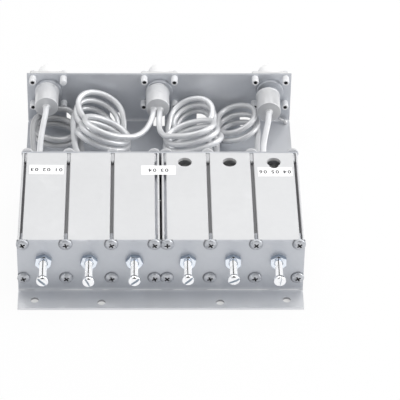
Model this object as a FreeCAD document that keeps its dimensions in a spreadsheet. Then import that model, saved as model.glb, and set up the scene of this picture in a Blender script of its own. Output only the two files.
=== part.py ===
"""Six-cavity duplexer: two blocks of three resonator tubes between a front plate with a foot and a rear tray.

Every length is in millimetres. +Z is up, the tuning screws face -Y and the three jacks face +Y. The origin is
the centre of the bounding box at its base, which is the surface that the foot and the tray rest on.
"""
import FreeCAD, Part
import math
import os
import Sketcher

from FreeCAD import Placement, Rotation, Vector

doc = FreeCAD.newDocument("cavity_duplexer")

# Driving dimensions, one cell each. The word after a number says what it is.
SIZES = {
    # folded sheet metal
    "case_width": 184.0,
    "sheet_thick": 1.6,
    "bend_inside": 2.2,
    "plate_height": 42.5,
    "panel_height": 41.5,
    "foot_reach": 17.8,
    "block_depth": 93.1,
    "floor_run": 88.5,
    # resonator blocks
    "block_gap": 1.6,
    "side_gap": 0.4,
    "block_tall": 32.2,
    "pitch_rest": 3.35,
    "cell_wall": 5.15,
    "side_wall": 5.8,
    "cell_roof": 2.2,
    "cell_corner": 2.5,
    "channel_in": 3.2,
    "channel_deep": 2.1,
    "channel_bore": 1.7,
    "mouth_mid": 2.3,
    "mouth_side": 1.6,
    "mouth_edge": 1.35,
    "mouth_flare": 0.5,
    "block_edge": 0.8,
    "top_hole": 4.65,
    "top_hole_back": 11.4,
    "top_hole_first": -0.8,
    "top_hole_second": -0.2,
    "top_hole_third": -0.1,
    "slip_hole": 3.0,
    "slip_forward": 3.7,
    # pan head screws of the two end plates
    "pan_radius": 3.75,
    "pan_height": 2.4,
    "pan_rim": 1.0,
    "shank_radius": 1.65,
    "shank_long": 9.1,
    "screw_hole": 1.9,
    "cross_wide": 0.95,
    "cross_long": 4.2,
    "cross_deep": 1.3,
    # tuning screws, lock nuts and clinch nuts
    "rod_radius": 2.4,
    "run_gap": 0.05,
    "rod_long": 44.5,
    "tuning_reach_1": 21.9,
    "tuning_reach_2": 22.5,
    "tuning_reach_3": 21.7,
    "tuning_reach_4": 20.8,
    "tuning_reach_5": 20.6,
    "tuning_reach_6": 21.8,
    "head_radius": 3.95,
    "head_tall": 3.3,
    "head_dome": 0.9,
    "slot_wide": 1.3,
    "slot_deep": 1.5,
    "nut_flats": 10.0,
    "nut_thick": 3.2,
    "nut_chamfer": 0.7,
    "clinch_radius": 3.95,
    "clinch_thick": 2.6,
    # resonators
    "former_radius": 6.0,
    "former_bore": 4.0,
    "former_long": 57.0,
    "wire_radius": 1.0,
    "coil_gap": 0.05,
    "coil_pitch": 7.0,
    "coil_turns": 5.0,
    "coil_back": 9.0,
    "tap_radius": 0.45,
    # jacks on the rear panel
    "jack_in": 14.7,
    "jack_height": 27.9,
    "flange_side": 25.4,
    "flange_thick": 3.0,
    "flange_corner": 1.5,
    "rivet_spread": 10.63,
    "rivet_radius": 2.0,
    "rivet_hole": 2.05,
    "rivet_tail": 2.12,
    "rivet_tail_long": 6.8,
    "rivet_bore": 1.15,
    "rivet_bore_deep": 3.4,
    "rivet_head": 3.9,
    "rivet_head_tall": 1.2,
    "boss_radius": 9.4,
    "boss_gap": 0.15,
    "boss_long": 2.4,
    "barrel_radius": 7.94,
    "barrel_long": 17.5,
    "barrel_neck": 7.3,
    "neck_long": 2.6,
    "mouth_radius": 5.2,
    "mouth_deep": 9.0,
    "insulator_radius": 4.1,
    "insulator_long": 7.0,
    "contact_radius": 1.5,
    "contact_out": 3.8,
    "contact_bore": 0.8,
    "contact_bore_deep": 3.2,
    "spigot_radius": 5.4,
    "spigot_long": 11.0,
    "hood_radius": 8.1,
    "hood_inner": 7.3,
    "hood_long": 17.5,
    "hood_face": 1.4,
    "hood_off_left": 2.4,
    "hood_off_middle": 3.5,
    "hood_off_right": 7.9,
    "hood_aside_left": 0.8,
    "hood_aside_middle": 1.2,
    "hood_aside_right": 1.6,
    "slot_pitch": 30.5,
    "relief_half": 4.0,
    "relief_up": 8.4,
    "relief_in": 6.5,
    # mounting holes of the foot
    "foot_hole": 2.65,
    "outer_hole_in": 10.8,
    "outer_hole_fwd": 9.9,
    "inner_hole_out": 38.2,
    "inner_hole_fwd": 12.2,
    # cables, labels and the stuck rivet stem
    "cable_radius": 2.0,
    "cable_hole": 2.1,
    "lead_end": 1.4,
    "tap_circle": 8.5,
    "label_long": 22.8,
    "label_wide": 9.7,
    "label_thick": 0.15,
    "stem_ball": 1.35,
    "stem_radius": 0.8,
    "stem_long": 4.8,
    "stem_up": 2.6,
    "stem_back": 0.6,
    "stem_in": 3.2,
    "paint_gap": 0.1,
}

sheet = doc.addObject("Spreadsheet::Sheet", "Sizes")
for row, (alias, size) in enumerate(SIZES.items(), start=1):
    sheet.set(f"A{row}", alias)
    sheet.set(f"B{row}", str(size))
    sheet.setAlias(f"B{row}", alias)
doc.recompute()

# The same dimensions as plain numbers, for the shapes that Part's own functions make.
SIZE = {alias: float(sheet.get(alias)) for alias in SIZES}


class Size:
    """A length with its formula on the sheet, so that one sum gives the number and what it is bound to."""

    def __init__(self, value, formula):
        self.value = float(value)
        self.formula = formula

    def join(self, other, sign, value, flip=False):
        other_formula = other.formula if isinstance(other, Size) else str(float(other))
        first, second = (other_formula, self.formula) if flip else (self.formula, other_formula)
        return Size(value, f"({first} {sign} {second})")

    def __add__(self, other):
        return self.join(other, "+", self.value + number(other))

    def __radd__(self, other):
        return self.join(other, "+", number(other) + self.value, flip=True)

    def __sub__(self, other):
        return self.join(other, "-", self.value - number(other))

    def __rsub__(self, other):
        return self.join(other, "-", number(other) - self.value, flip=True)

    def __mul__(self, other):
        return self.join(other, "*", self.value * number(other))

    def __rmul__(self, other):
        return self.join(other, "*", number(other) * self.value, flip=True)

    def __truediv__(self, other):
        return self.join(other, "/", self.value / number(other))

    def __neg__(self):
        return Size(-self.value, f"(0 - {self.formula})")


def number(thing):
    return thing.value if isinstance(thing, Size) else float(thing)


def size(alias):
    return Size(sheet.get(alias), f"Sizes.{alias}")


def bind(thing, path, amount):
    """Set a property of an object from the sheet."""
    formula = amount.formula if isinstance(amount, Size) else str(float(amount))
    thing.setExpression(path, formula)


def place(thing, x, y, z, rotation=Rotation()):
    """Put an object at a point whose coordinates are bound to the sheet."""
    thing.Placement = Placement(Vector(number(x), number(y), number(z)), rotation)
    bind(thing, ".Placement.Base.x", x)
    bind(thing, ".Placement.Base.y", y)
    bind(thing, ".Placement.Base.z", z)


# Sketches and features of a body

def new_body(label):
    body = doc.addObject("PartDesign::Body", label)
    body.Label = label
    return body


def new_sketch(body, name, role, offset=0.0):
    """A sketch on one of the body's own planes. On XZ_Plane and YZ_Plane its second axis is up."""
    sketch = body.newObject("Sketcher::SketchObject", name)
    plane = [feature for feature in body.Origin.OriginFeatures if feature.Role == role][0]
    sketch.AttachmentSupport = [(plane, "")]
    sketch.MapMode = "FlatFace"
    toward = -1.0 if role == "XZ_Plane" else 1.0
    sketch.AttachmentOffset = Placement(Vector(0, 0, toward * number(offset)), Rotation())
    if isinstance(offset, Size):
        bind(sketch, ".AttachmentOffset.Base.z", toward * offset)
    return sketch


def pin_point(sketch, curve, end, x, y):
    """Fix one point of a sketch at a distance from its origin in both directions."""
    for kind, axis, amount in (("DistanceX", -2, x), ("DistanceY", -1, y)):
        if number(amount) == 0 and not isinstance(amount, Size):
            sketch.addConstraint(Sketcher.Constraint("PointOnObject", curve, end, axis))
            continue
        index = sketch.addConstraint(Sketcher.Constraint(kind, -1, 1, curve, end, number(amount)))
        if isinstance(amount, Size):
            bind(sketch, f"Constraints[{index}]", amount)


def draw_polygon(sketch, points):
    """A closed outline of straight lines whose corners are bound to the sheet."""
    corners = [Vector(number(x), number(y), 0) for x, y in points]
    count = len(points)
    first = sketch.GeometryCount
    for i in range(count):
        sketch.addGeometry(Part.LineSegment(corners[i], corners[(i + 1) % count]), False)
    for i in range(count):
        sketch.addConstraint(Sketcher.Constraint("Coincident", first + i, 2, first + (i + 1) % count, 1))
    for i, (x, y) in enumerate(points):
        pin_point(sketch, first + i, 1, x, y)


def draw_rectangle(sketch, x0, y0, x1, y1):
    draw_polygon(sketch, [(x0, y0), (x1, y0), (x1, y1), (x0, y1)])


def draw_circle(sketch, x, y, radius):
    middle = Vector(number(x), number(y), 0)
    curve = sketch.addGeometry(Part.Circle(middle, Vector(0, 0, 1), number(radius)), False)
    index = sketch.addConstraint(Sketcher.Constraint("Radius", curve, number(radius)))
    bind(sketch, f"Constraints[{index}]", radius)
    pin_point(sketch, curve, 3, x, y)


def pad(body, sketch, length, both_ways=True):
    feature = body.newObject("PartDesign::Pad", sketch.Name + "_pad")
    feature.Profile = sketch
    feature.Midplane = both_ways
    bind(feature, "Length", length)
    return feature


def pocket(body, sketch, depth):
    """Cut half the depth to each side of the sketch."""
    feature = body.newObject("PartDesign::Pocket", sketch.Name + "_pocket")
    feature.Profile = sketch
    feature.Midplane = True
    bind(feature, "Length", depth)
    return feature


def revolve(body, sketch, groove=False):
    """Turn a profile drawn on XZ_Plane about the body's own Z axis, or cut with it."""
    kind = "PartDesign::Groove" if groove else "PartDesign::Revolution"
    feature = body.newObject(kind, sketch.Name + "_turned")
    feature.Profile = sketch
    feature.ReferenceAxis = (sketch, ["V_Axis"])
    feature.Angle = 360
    return feature


def fillet(body, chosen, radius, kind="Fillet"):
    """Round or chamfer the tip's edges whose bounding box passes the test that is given."""
    doc.recompute()
    base = body.Tip
    names = [f"Edge{i}" for i, edge in enumerate(base.Shape.Edges, start=1) if chosen(edge.BoundBox)]
    feature = body.newObject("PartDesign::" + kind, f"{body.Name}_{kind.lower()}_{len(body.Group)}")
    feature.Base = (base, names)
    bind(feature, "Radius" if kind == "Fillet" else "Size", radius)
    return feature


def near(a, b):
    return abs(a - number(b)) < 0.01


def group_of(label, shapes):
    """Several separate solids in one named piece."""
    feature = doc.addObject("Part::Feature", label)
    feature.Label = label
    feature.Shape = Part.makeCompound(shapes)
    return feature


def copy_at(shape, point, rotation):
    """A template shape copied to a point, turned."""
    copied = shape.copy()
    copied.Placement = Placement(point, rotation).multiply(shape.Placement)
    return copied


# Frame of the whole part. The front plate's outer face lies at plate_y.
case_width = size("case_width")
sheet_thick = size("sheet_thick")
plate_height = size("plate_height")
block_depth = size("block_depth")
floor_run = size("floor_run")
half_width = case_width / 2
panel_height = size("panel_height")
block_width = (case_width - size("block_gap") - 2 * size("side_gap")) / 2
block_centre = (block_width + size("block_gap")) / 2
cell_pitch = (block_width - size("pitch_rest")) / 3
cell_half = (cell_pitch - size("cell_wall")) / 2
channel_mid = cell_pitch / 2
channel_side = block_width / 2 - size("channel_in")

# How far each slot and each nut is turned, in degrees, from the left.
TUNING_SLOT = [-45.0, -64.0, 40.0, 43.0, 25.0, 82.0]
NUT_TURN = [12.0, 28.0, 8.0, 0.0, 2.0, 0.0]

# The second tuning screw stands out farthest, and the jacks end the part behind.
front_reach = size("tuning_reach_2")
jack_reach = size("flange_thick") + size("barrel_long")
rear_reach = block_depth + floor_run + sheet_thick + jack_reach
plate_y = (front_reach - rear_reach) / 2
back_y = plate_y + block_depth
panel_y = back_y + floor_run
plate_back = plate_y + sheet_thick
back_front = back_y - sheet_thick
block_low = plate_height - size("block_tall")
axis_z = plate_height - size("block_tall") / 2
screw_rows = [plate_height - size("channel_deep"), block_low + size("channel_deep")]
SIDES = [("left", -1), ("right", 1)]

screw_columns = []
cell_axes = []
for side in (-1, 1):
    for channel in (channel_mid, channel_side):
        for way in (-1, 1):
            screw_columns.append(side * block_centre + way * channel)
    for step in (-1, 0, 1):
        cell_axes.append(side * block_centre + step * cell_pitch)
screw_columns.sort(key=number)
cell_axes.sort(key=number)
jack_out = half_width - size("jack_in")
jack_columns = [("left", -jack_out), ("middle", 0.0 * jack_out), ("right", jack_out)]


# Cables: where each one enters its cavity, and the route between.

# Each cavity has two leads. The numbers are the direction of each lead from the cavity's axis, in degrees.
ENTRY_TURNS = {
    "c1_upper": (0, 130.0),
    "c1_lower": (0, 230.0),
    "c2_upper": (1, 135.0),
    "c2_lower": (1, 225.0),
    "c3_upper": (2, 50.0),
    "c3_lower": (2, 230.0),
    "c4_upper": (3, 130.0),
    "c4_lower": (3, 230.0),
    "c5_upper": (4, 140.0),
    "c5_lower": (4, 220.0),
    "c6_upper": (5, 135.0),
    "c6_lower": (5, 225.0),
}


def entry(name):
    """The centre of a lead's hole in the rear end plate, across and up."""
    cavity, turn = ENTRY_TURNS[name]
    angle = math.radians(turn)
    return (
        cell_axes[cavity] + math.cos(angle) * size("tap_circle"),
        axis_z + math.sin(angle) * size("tap_circle"),
    )


# Folded sheet metal

def make_front_plate():
    """The front end plate and its foot, folded from one sheet."""
    body = new_body("front_plate")
    profile = new_sketch(body, "front_profile", "YZ_Plane")
    toe = plate_y - size("foot_reach")
    draw_polygon(
        profile,
        [
            (toe, 0.0),
            (plate_back, 0.0),
            (plate_back, plate_height),
            (plate_y, plate_height),
            (plate_y, sheet_thick),
            (toe, sheet_thick),
        ],
    )
    pad(body, profile, case_width)
    fillet(body, lambda b: near(b.YMin, plate_y) and near(b.YMax, plate_y) and near(b.ZMax, sheet_thick)
           and b.XLength > 1, size("bend_inside"))
    fillet(body, lambda b: near(b.YMin, plate_back) and near(b.YMax, plate_back) and near(b.ZMax, 0)
           and b.XLength > 1, size("bend_inside") + sheet_thick)
    holes = new_sketch(body, "front_holes", "XZ_Plane", plate_y + sheet_thick / 2)
    for column in screw_columns:
        for row_z in screw_rows:
            draw_circle(holes, column, row_z, size("screw_hole"))
    for axis in cell_axes:
        draw_circle(holes, axis, axis_z, size("rod_radius") + size("run_gap"))
    pocket(body, holes, sheet_thick * 2)
    feet = new_sketch(body, "foot_holes", "XY_Plane", sheet_thick / 2)
    for side in (-1, 1):
        outer_hole = side * (half_width - size("outer_hole_in"))
        draw_circle(feet, outer_hole, plate_y - size("outer_hole_fwd"), size("foot_hole"))
        draw_circle(feet, side * size("inner_hole_out"), plate_y - size("inner_hole_fwd"), size("foot_hole"))
    pocket(body, feet, sheet_thick * 2)
    return body


def make_rear_tray():
    """The rear end plate, the floor and the jack panel, folded from one sheet."""
    body = new_body("rear_tray")
    outer_y = panel_y + sheet_thick
    profile = new_sketch(body, "tray_profile", "YZ_Plane")
    draw_polygon(
        profile,
        [
            (back_front, 0.0),
            (outer_y, 0.0),
            (outer_y, panel_height),
            (panel_y, panel_height),
            (panel_y, sheet_thick),
            (back_y, sheet_thick),
            (back_y, plate_height),
            (back_front, plate_height),
        ],
    )
    pad(body, profile, case_width)
    fillet(body, lambda b: near(b.ZMin, sheet_thick) and near(b.ZMax, sheet_thick) and b.XLength > 1
           and b.YLength < 0.01, size("bend_inside"))
    fillet(body, lambda b: near(b.ZMin, 0) and near(b.ZMax, 0) and b.XLength > 1 and b.YLength < 0.01,
           size("bend_inside") + sheet_thick)
    holes = new_sketch(body, "end_holes", "XZ_Plane", back_y - sheet_thick / 2)
    for column in screw_columns:
        for row_z in screw_rows:
            draw_circle(holes, column, row_z, size("screw_hole"))
    for name in ENTRY_TURNS:
        x, z = entry(name)
        draw_circle(holes, x, z, size("cable_hole"))
    pocket(body, holes, sheet_thick * 2)
    panel = new_sketch(body, "panel_holes", "XZ_Plane", panel_y + sheet_thick / 2)
    for label, x in jack_columns:
        draw_circle(panel, x, size("jack_height"), size("boss_radius") + size("boss_gap"))
        for across in (-1, 1):
            for up in (-1, 1):
                draw_circle(panel, x + across * size("rivet_spread"),
                            size("jack_height") + up * size("rivet_spread"), size("rivet_hole"))
    pocket(body, panel, sheet_thick * 2)
    half = size("relief_half")
    upright = new_sketch(body, "panel_reliefs", "XZ_Plane", panel_y + sheet_thick / 2)
    flat = new_sketch(body, "floor_reliefs", "XY_Plane", sheet_thick / 2)
    for step in range(-2, 3):
        x = step * size("slot_pitch")
        draw_rectangle(upright, x - half, -sheet_thick, x + half, size("relief_up"))
        draw_rectangle(flat, x - half, panel_y - size("relief_in"), x + half, outer_y + sheet_thick)
    pocket(body, upright, sheet_thick * 4)
    pocket(body, flat, sheet_thick * 4)
    return body


# Resonator blocks

def make_block(label, side):
    """One extrusion with three cavities, cut to length, with open screw channels above and below."""
    body = new_body("cavity_block_" + label)
    middle = side * block_centre
    half = block_width / 2
    length = block_depth - 2 * sheet_thick
    mid_y = plate_back + length / 2
    outline = new_sketch(body, f"{label}_outline", "XZ_Plane", mid_y)
    draw_rectangle(outline, middle - half, block_low, middle + half, plate_height)
    pad(body, outline, length)
    corner = lambda b: (near(b.XMin, middle - half) or near(b.XMax, middle + half)) and b.YLength > 5 and (
        near(b.ZMin, block_low) or near(b.ZMax, plate_height))
    fillet(body, corner, size("block_edge"))
    cells = new_sketch(body, f"{label}_cells", "XZ_Plane", mid_y)
    inner = cell_half + size("cell_wall")
    outer = half - size("side_wall")
    for low, high in ((-outer, -inner), (-cell_half, cell_half), (inner, outer)):
        draw_rectangle(cells, middle + low, block_low + size("cell_roof"), middle + high,
                       plate_height - size("cell_roof"))
    pocket(body, cells, length * 2)
    fillet(body, lambda b: b.YLength > 5 and (near(b.ZMin, block_low + size("cell_roof"))
           or near(b.ZMax, plate_height - size("cell_roof"))), size("cell_corner"))
    bores = new_sketch(body, f"{label}_channel_bores", "XZ_Plane", mid_y)
    mouths = new_sketch(body, f"{label}_channel_mouths", "XZ_Plane", mid_y)
    flare = size("mouth_flare")
    for channel, way in ((channel_side, -1), (channel_mid, -1), (channel_mid, 1), (channel_side, 1)):
        x = middle + way * channel
        if channel is channel_mid:
            left = x - size("mouth_mid") / 2
            right = x + size("mouth_mid") / 2
        else:
            edge = middle + way * (half - size("mouth_edge"))
            inward = edge - way * size("mouth_side")
            left, right = (edge, inward) if way < 0 else (inward, edge)
        for row_z, face, up in ((screw_rows[0], plate_height, 1), (screw_rows[1], block_low, -1)):
            draw_circle(bores, x, row_z, size("channel_bore"))
            draw_polygon(
                mouths,
                [
                    (left, row_z),
                    (right, row_z),
                    (right, face - up * flare),
                    (right + flare, face + up * flare * 0.2),
                    (left - flare, face + up * flare * 0.2),
                    (left, face - up * flare),
                ],
            )
    pocket(body, bores, length * 2)
    pocket(body, mouths, length * 2)
    if side > 0:
        top = new_sketch(body, f"{label}_top_holes", "XY_Plane", plate_height)
        hole_y = back_y - size("top_hole_back")
        for axis, shift in zip(cell_axes[3:], ("top_hole_first", "top_hole_second", "top_hole_third")):
            draw_circle(top, axis + size(shift), hole_y, size("top_hole"))
        pocket(body, top, size("cell_roof") * 4)
        slip = new_sketch(body, f"{label}_slipped_hole", "XY_Plane", plate_height)
        slip_x = cell_axes[5] + size("top_hole_third")
        draw_circle(slip, slip_x, hole_y - size("slip_forward"), size("slip_hole"))
        pocket(body, slip, size("cell_roof") * 4)
    return body


# Screws and nuts

def screw_template():
    """One pan head screw with a cross recess, head up along Z and its seat at zero."""
    body = new_body("pan_screw_template")
    rim = size("pan_rim")
    top = size("pan_height")
    profile = new_sketch(body, "pan_profile", "XZ_Plane")
    draw_polygon(
        profile,
        [
            (0.0, -size("shank_long")),
            (size("shank_radius") * 0.6, -size("shank_long")),
            (size("shank_radius"), -size("shank_long") + size("shank_radius") * 0.6),
            (size("shank_radius"), 0.0),
            (size("pan_radius"), 0.0),
            (size("pan_radius"), rim),
            (size("pan_radius") * 0.9, rim + (top - rim) * 0.5),
            (size("pan_radius") * 0.65, rim + (top - rim) * 0.85),
            (size("pan_radius") * 0.3, top),
            (0.0, top),
        ],
    )
    revolve(body, profile)
    cross = new_sketch(body, "cross_recess", "XY_Plane", top)
    half_long = size("cross_long") / 2
    half_wide = size("cross_wide") / 2
    draw_polygon(
        cross,
        [
            (-half_long, -half_wide),
            (-half_wide, -half_wide),
            (-half_wide, -half_long),
            (half_wide, -half_long),
            (half_wide, -half_wide),
            (half_long, -half_wide),
            (half_long, half_wide),
            (half_wide, half_wide),
            (half_wide, half_long),
            (-half_wide, half_long),
            (-half_wide, half_wide),
            (-half_long, half_wide),
        ],
    )
    pocket(body, cross, size("cross_deep") * 2)
    doc.recompute()
    return body


# How far the cross recess of each screw is turned, in degrees, from the left and top row first.
FRONT_TURNS = [28, 20, 12, 37, 30, 18, 34, 24, 5, 40, 33, 22, 44, 15, 36, 30]
REAR_TURNS = [10, 35, 22, 41, 8, 27, 16, 38, 30, 12, 43, 19, 33, 6, 25, 40]


def make_end_screws(template):
    front = []
    rear = []
    for i, column in enumerate(screw_columns):
        for j, row_z in enumerate(screw_rows):
            spot = Vector(number(column), number(plate_y), number(row_z))
            spin = Rotation(Vector(0, 0, 1), FRONT_TURNS[2 * i + j])
            front.append(copy_at(template.Shape, spot, Rotation(Vector(1, 0, 0), 90).multiply(spin)))
            spot = Vector(number(column), number(back_y), number(row_z))
            spin = Rotation(Vector(0, 0, 1), REAR_TURNS[2 * i + j])
            rear.append(copy_at(template.Shape, spot, Rotation(Vector(1, 0, 0), -90).multiply(spin)))
    return [group_of("front_plate_screws", front), group_of("rear_plate_screws", rear)]


def make_tuning_screw(i, axis):
    """A slotted cheese head screw. Its own Z axis points out of the front plate."""
    body = new_body(f"tuning_screw_{i + 1}")
    seat = size(f"tuning_reach_{i + 1}") - size("head_tall")
    tip = seat - size("rod_long")
    dome = size("head_dome")
    profile = new_sketch(body, f"tuning_profile_{i + 1}", "XZ_Plane")
    draw_polygon(
        profile,
        [
            (0.0, tip),
            (size("rod_radius") * 0.7, tip),
            (size("rod_radius"), tip + size("rod_radius") * 0.4),
            (size("rod_radius"), seat),
            (size("head_radius"), seat),
            (size("head_radius"), seat + size("head_tall") - dome),
            (size("head_radius") * 0.88, seat + size("head_tall") - dome * 0.45),
            (size("head_radius") * 0.55, seat + size("head_tall") - dome * 0.12),
            (size("head_radius") * 0.3, seat + size("head_tall")),
            (0.0, seat + size("head_tall")),
        ],
    )
    revolve(body, profile)
    slot = new_sketch(body, f"tuning_slot_{i + 1}", "XY_Plane", seat + size("head_tall"))
    draw_rectangle(slot, -1.2 * size("head_radius"), -size("slot_wide") / 2, 1.2 * size("head_radius"),
                   size("slot_wide") / 2)
    pocket(body, slot, size("slot_deep") * 2)
    spin = Rotation(Vector(0, 0, 1), TUNING_SLOT[i])
    place(body, axis, plate_y, axis_z, Rotation(Vector(1, 0, 0), 90).multiply(spin))
    return body


def draw_hexagon(sketch, flats):
    """A regular hexagon about the sketch's origin, with two sides upright."""
    half = flats / 2
    tip = flats / math.sqrt(3)
    draw_polygon(
        sketch,
        [
            (half, -tip / 2),
            (half, tip / 2),
            (0.0, tip),
            (-half, tip / 2),
            (-half, -tip / 2),
            (0.0, -tip),
        ],
    )


def make_lock_nut(i, axis):
    body = new_body(f"lock_nut_{i + 1}")
    flat_sketch = new_sketch(body, f"nut_hexagon_{i + 1}", "XY_Plane")
    draw_hexagon(flat_sketch, size("nut_flats"))
    pad(body, flat_sketch, size("nut_thick"), both_ways=False)
    # The chamfer takes a thin ring with a sloped inner side off the six corners.
    clear = size("nut_flats") / math.sqrt(3) * 1.05
    thick = size("nut_thick")
    slope_end = thick - size("nut_chamfer") * 1.05
    cutter = new_sketch(body, f"nut_chamfer_{i + 1}", "XZ_Plane")
    draw_polygon(cutter, [(size("nut_flats") / 2, thick), (clear, thick), (clear, slope_end)])
    revolve(body, cutter, groove=True)
    bore = new_sketch(body, f"nut_bore_{i + 1}", "XY_Plane", thick / 2)
    draw_circle(bore, 0.0, 0.0, size("rod_radius") + size("run_gap"))
    pocket(body, bore, thick * 2)
    lead = new_sketch(body, f"nut_lead_{i + 1}", "XZ_Plane")
    wide = size("rod_radius") + size("run_gap")
    lead_end = thick - size("nut_chamfer")
    draw_polygon(lead, [(0.0, lead_end), (wide, lead_end), (wide + size("nut_chamfer"), thick), (0.0, thick)])
    revolve(body, lead, groove=True)
    spin = Rotation(Vector(0, 0, 1), NUT_TURN[i])
    place(body, axis, plate_y, axis_z, Rotation(Vector(1, 0, 0), 90).multiply(spin))
    return body


def make_clinch_nuts():
    """Threaded collars clinched into the inside of the front plate, one for each tuning screw."""
    collars = []
    for axis in cell_axes:
        spot = Vector(number(axis), number(plate_back), number(axis_z))
        outer = Part.makeCylinder(SIZE["clinch_radius"], SIZE["clinch_thick"], spot, Vector(0, 1, 0))
        bore = Part.makeCylinder(SIZE["rod_radius"] + SIZE["run_gap"], SIZE["clinch_thick"] * 3,
                                 spot - Vector(0, SIZE["clinch_thick"], 0), Vector(0, 1, 0))
        collars.append(outer.cut(bore))
    return group_of("clinch_nuts", collars)


# Inside the cavities

def make_former(i, axis):
    """The insulating tube that carries a resonator coil, standing on the rear end plate."""
    body = new_body(f"coil_former_{i + 1}")
    profile = new_sketch(body, f"former_profile_{i + 1}", "XZ_Plane")
    draw_rectangle(profile, size("former_bore"), 0.0, size("former_radius"), size("former_long"))
    revolve(body, profile)
    place(body, axis, back_front, axis_z, Rotation(Vector(1, 0, 0), 90))
    return body


def make_coil(i, axis):
    """A resonator coil wound on its former, with its earthed end bent back to the rear end plate."""
    mean = SIZE["former_radius"] + SIZE["coil_gap"] + SIZE["wire_radius"]
    height = SIZE["coil_pitch"] * SIZE["coil_turns"]
    helix = Part.makeHelix(SIZE["coil_pitch"], height, mean)
    rise = SIZE["coil_pitch"] / (2 * math.pi * mean)
    start = Vector(mean, 0, 0)
    section = Part.Wire(Part.Circle(start, Vector(0, 1, rise), SIZE["wire_radius"]).toShape())
    wire = Part.Wire(helix).makePipeShell([section], True, True)
    lead = Part.makeCylinder(SIZE["wire_radius"], SIZE["coil_back"], start, Vector(0, 0, -1))
    joint = Part.makeSphere(SIZE["wire_radius"], start)
    coil = wire.fuse([lead, joint])
    feature = doc.addObject("Part::Feature", f"resonator_coil_{i + 1}")
    feature.Label = f"resonator_coil_{i + 1}"
    feature.Shape = coil
    spot = Vector(number(axis), number(back_front) - SIZE["coil_back"], number(axis_z))
    feature.Placement = Placement(spot, Rotation(Vector(1, 0, 0), 90))
    return feature


# Jacks on the rear panel

def make_jack(label, x):
    """The metal body of a jack: a square flange, a barrel for the plug and a boss through the panel."""
    body = new_body(f"jack_body_{label}")
    outer_y = panel_y + sheet_thick
    plate = new_sketch(body, f"jack_flange_{label}", "XZ_Plane", outer_y + size("flange_thick") / 2)
    half = size("flange_side") / 2
    height = size("jack_height")
    draw_rectangle(plate, x - half, height - half, x + half, height + half)
    pad(body, plate, size("flange_thick"))
    fillet(body, lambda b: b.YLength > 1 and b.XLength < 0.01 and b.ZLength < 0.01, size("flange_corner"))
    flange_y = outer_y + size("flange_thick")
    for name, radius, low, high in (
        ("neck", "barrel_neck", flange_y, flange_y + size("neck_long")),
        ("barrel", "barrel_radius", flange_y + size("neck_long"), outer_y + jack_reach),
        ("boss", "boss_radius", panel_y - size("boss_long"), outer_y),
        ("spigot", "spigot_radius", panel_y - size("spigot_long"), panel_y - size("boss_long")),
    ):
        sketch = new_sketch(body, f"jack_{name}_{label}", "XZ_Plane", (low + high) / 2)
        draw_circle(sketch, x, height, size(radius))
        pad(body, sketch, high - low)
    mouth = new_sketch(body, f"jack_mouth_{label}", "XZ_Plane", outer_y + jack_reach)
    draw_circle(mouth, x, height, size("mouth_radius"))
    pocket(body, mouth, size("mouth_deep") * 2)
    seat = new_sketch(body, f"jack_seat_{label}", "XZ_Plane", outer_y + jack_reach)
    draw_circle(seat, x, height, size("insulator_radius"))
    pocket(body, seat, (size("mouth_deep") + size("insulator_long")) * 2)
    core = new_sketch(body, f"jack_core_{label}", "XZ_Plane", panel_y)
    draw_circle(core, x, height, size("contact_radius") * 2)
    pocket(body, core, size("spigot_long") * 4)
    rivets = new_sketch(body, f"jack_rivets_{label}", "XZ_Plane", outer_y + size("flange_thick") / 2)
    for across in (-1, 1):
        for up in (-1, 1):
            draw_circle(rivets, x + across * size("rivet_spread"), height + up * size("rivet_spread"),
                        size("rivet_hole"))
    pocket(body, rivets, size("flange_thick") * 2)
    return body


def make_insulator(label, x):
    body = new_body(f"jack_insulator_{label}")
    front = panel_y + sheet_thick + jack_reach - size("mouth_deep")
    profile = new_sketch(body, f"insulator_profile_{label}", "XZ_Plane")
    draw_rectangle(profile, size("contact_radius"), 0.0, size("insulator_radius"), size("insulator_long"))
    revolve(body, profile)
    place(body, x, front, size("jack_height"), Rotation(Vector(1, 0, 0), 90))
    return body


def make_contact(label, x):
    """The centre contact: a tube for the plug's pin in front and a solder cup inside the hood."""
    body = new_body(f"jack_contact_{label}")
    front = panel_y + sheet_thick + jack_reach - size("mouth_deep") + size("contact_out")
    length = size("contact_out") + size("insulator_long") + size("spigot_long") - size("boss_long")
    radius = size("contact_radius")
    bore = size("contact_bore")
    profile = new_sketch(body, f"contact_profile_{label}", "XZ_Plane")
    draw_polygon(
        profile,
        [
            (0.0, size("contact_bore_deep")),
            (bore, size("contact_bore_deep")),
            (bore, 0.0),
            (radius, 0.0),
            (radius, length),
            (0.0, length),
        ],
    )
    revolve(body, profile)
    place(body, x, front, size("jack_height"), Rotation(Vector(1, 0, 0), 90))
    return body


def make_hood(label, x, leads):
    """The round solder cap over the back of a jack, with a hole for each lead in its closed face."""
    body = new_body(f"jack_hood_{label}")
    rim_y = panel_y - size("hood_off_" + label)
    long = size("hood_long")
    profile = new_sketch(body, f"hood_profile_{label}", "XZ_Plane")
    draw_polygon(
        profile,
        [
            (size("hood_inner"), 0.0),
            (size("hood_radius"), 0.0),
            (size("hood_radius"), long),
            (0.0, long),
            (0.0, long - size("hood_face")),
            (size("hood_inner"), long - size("hood_face")),
        ],
    )
    revolve(body, profile)
    holes = new_sketch(body, f"hood_holes_{label}", "XY_Plane", long)
    for across, up in leads:
        draw_circle(holes, across, up, size("cable_hole"))
    pocket(body, holes, size("hood_face") * 4)
    place(body, x, rim_y, size("jack_height"), Rotation(Vector(1, 0, 0), 90))
    return body


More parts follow.
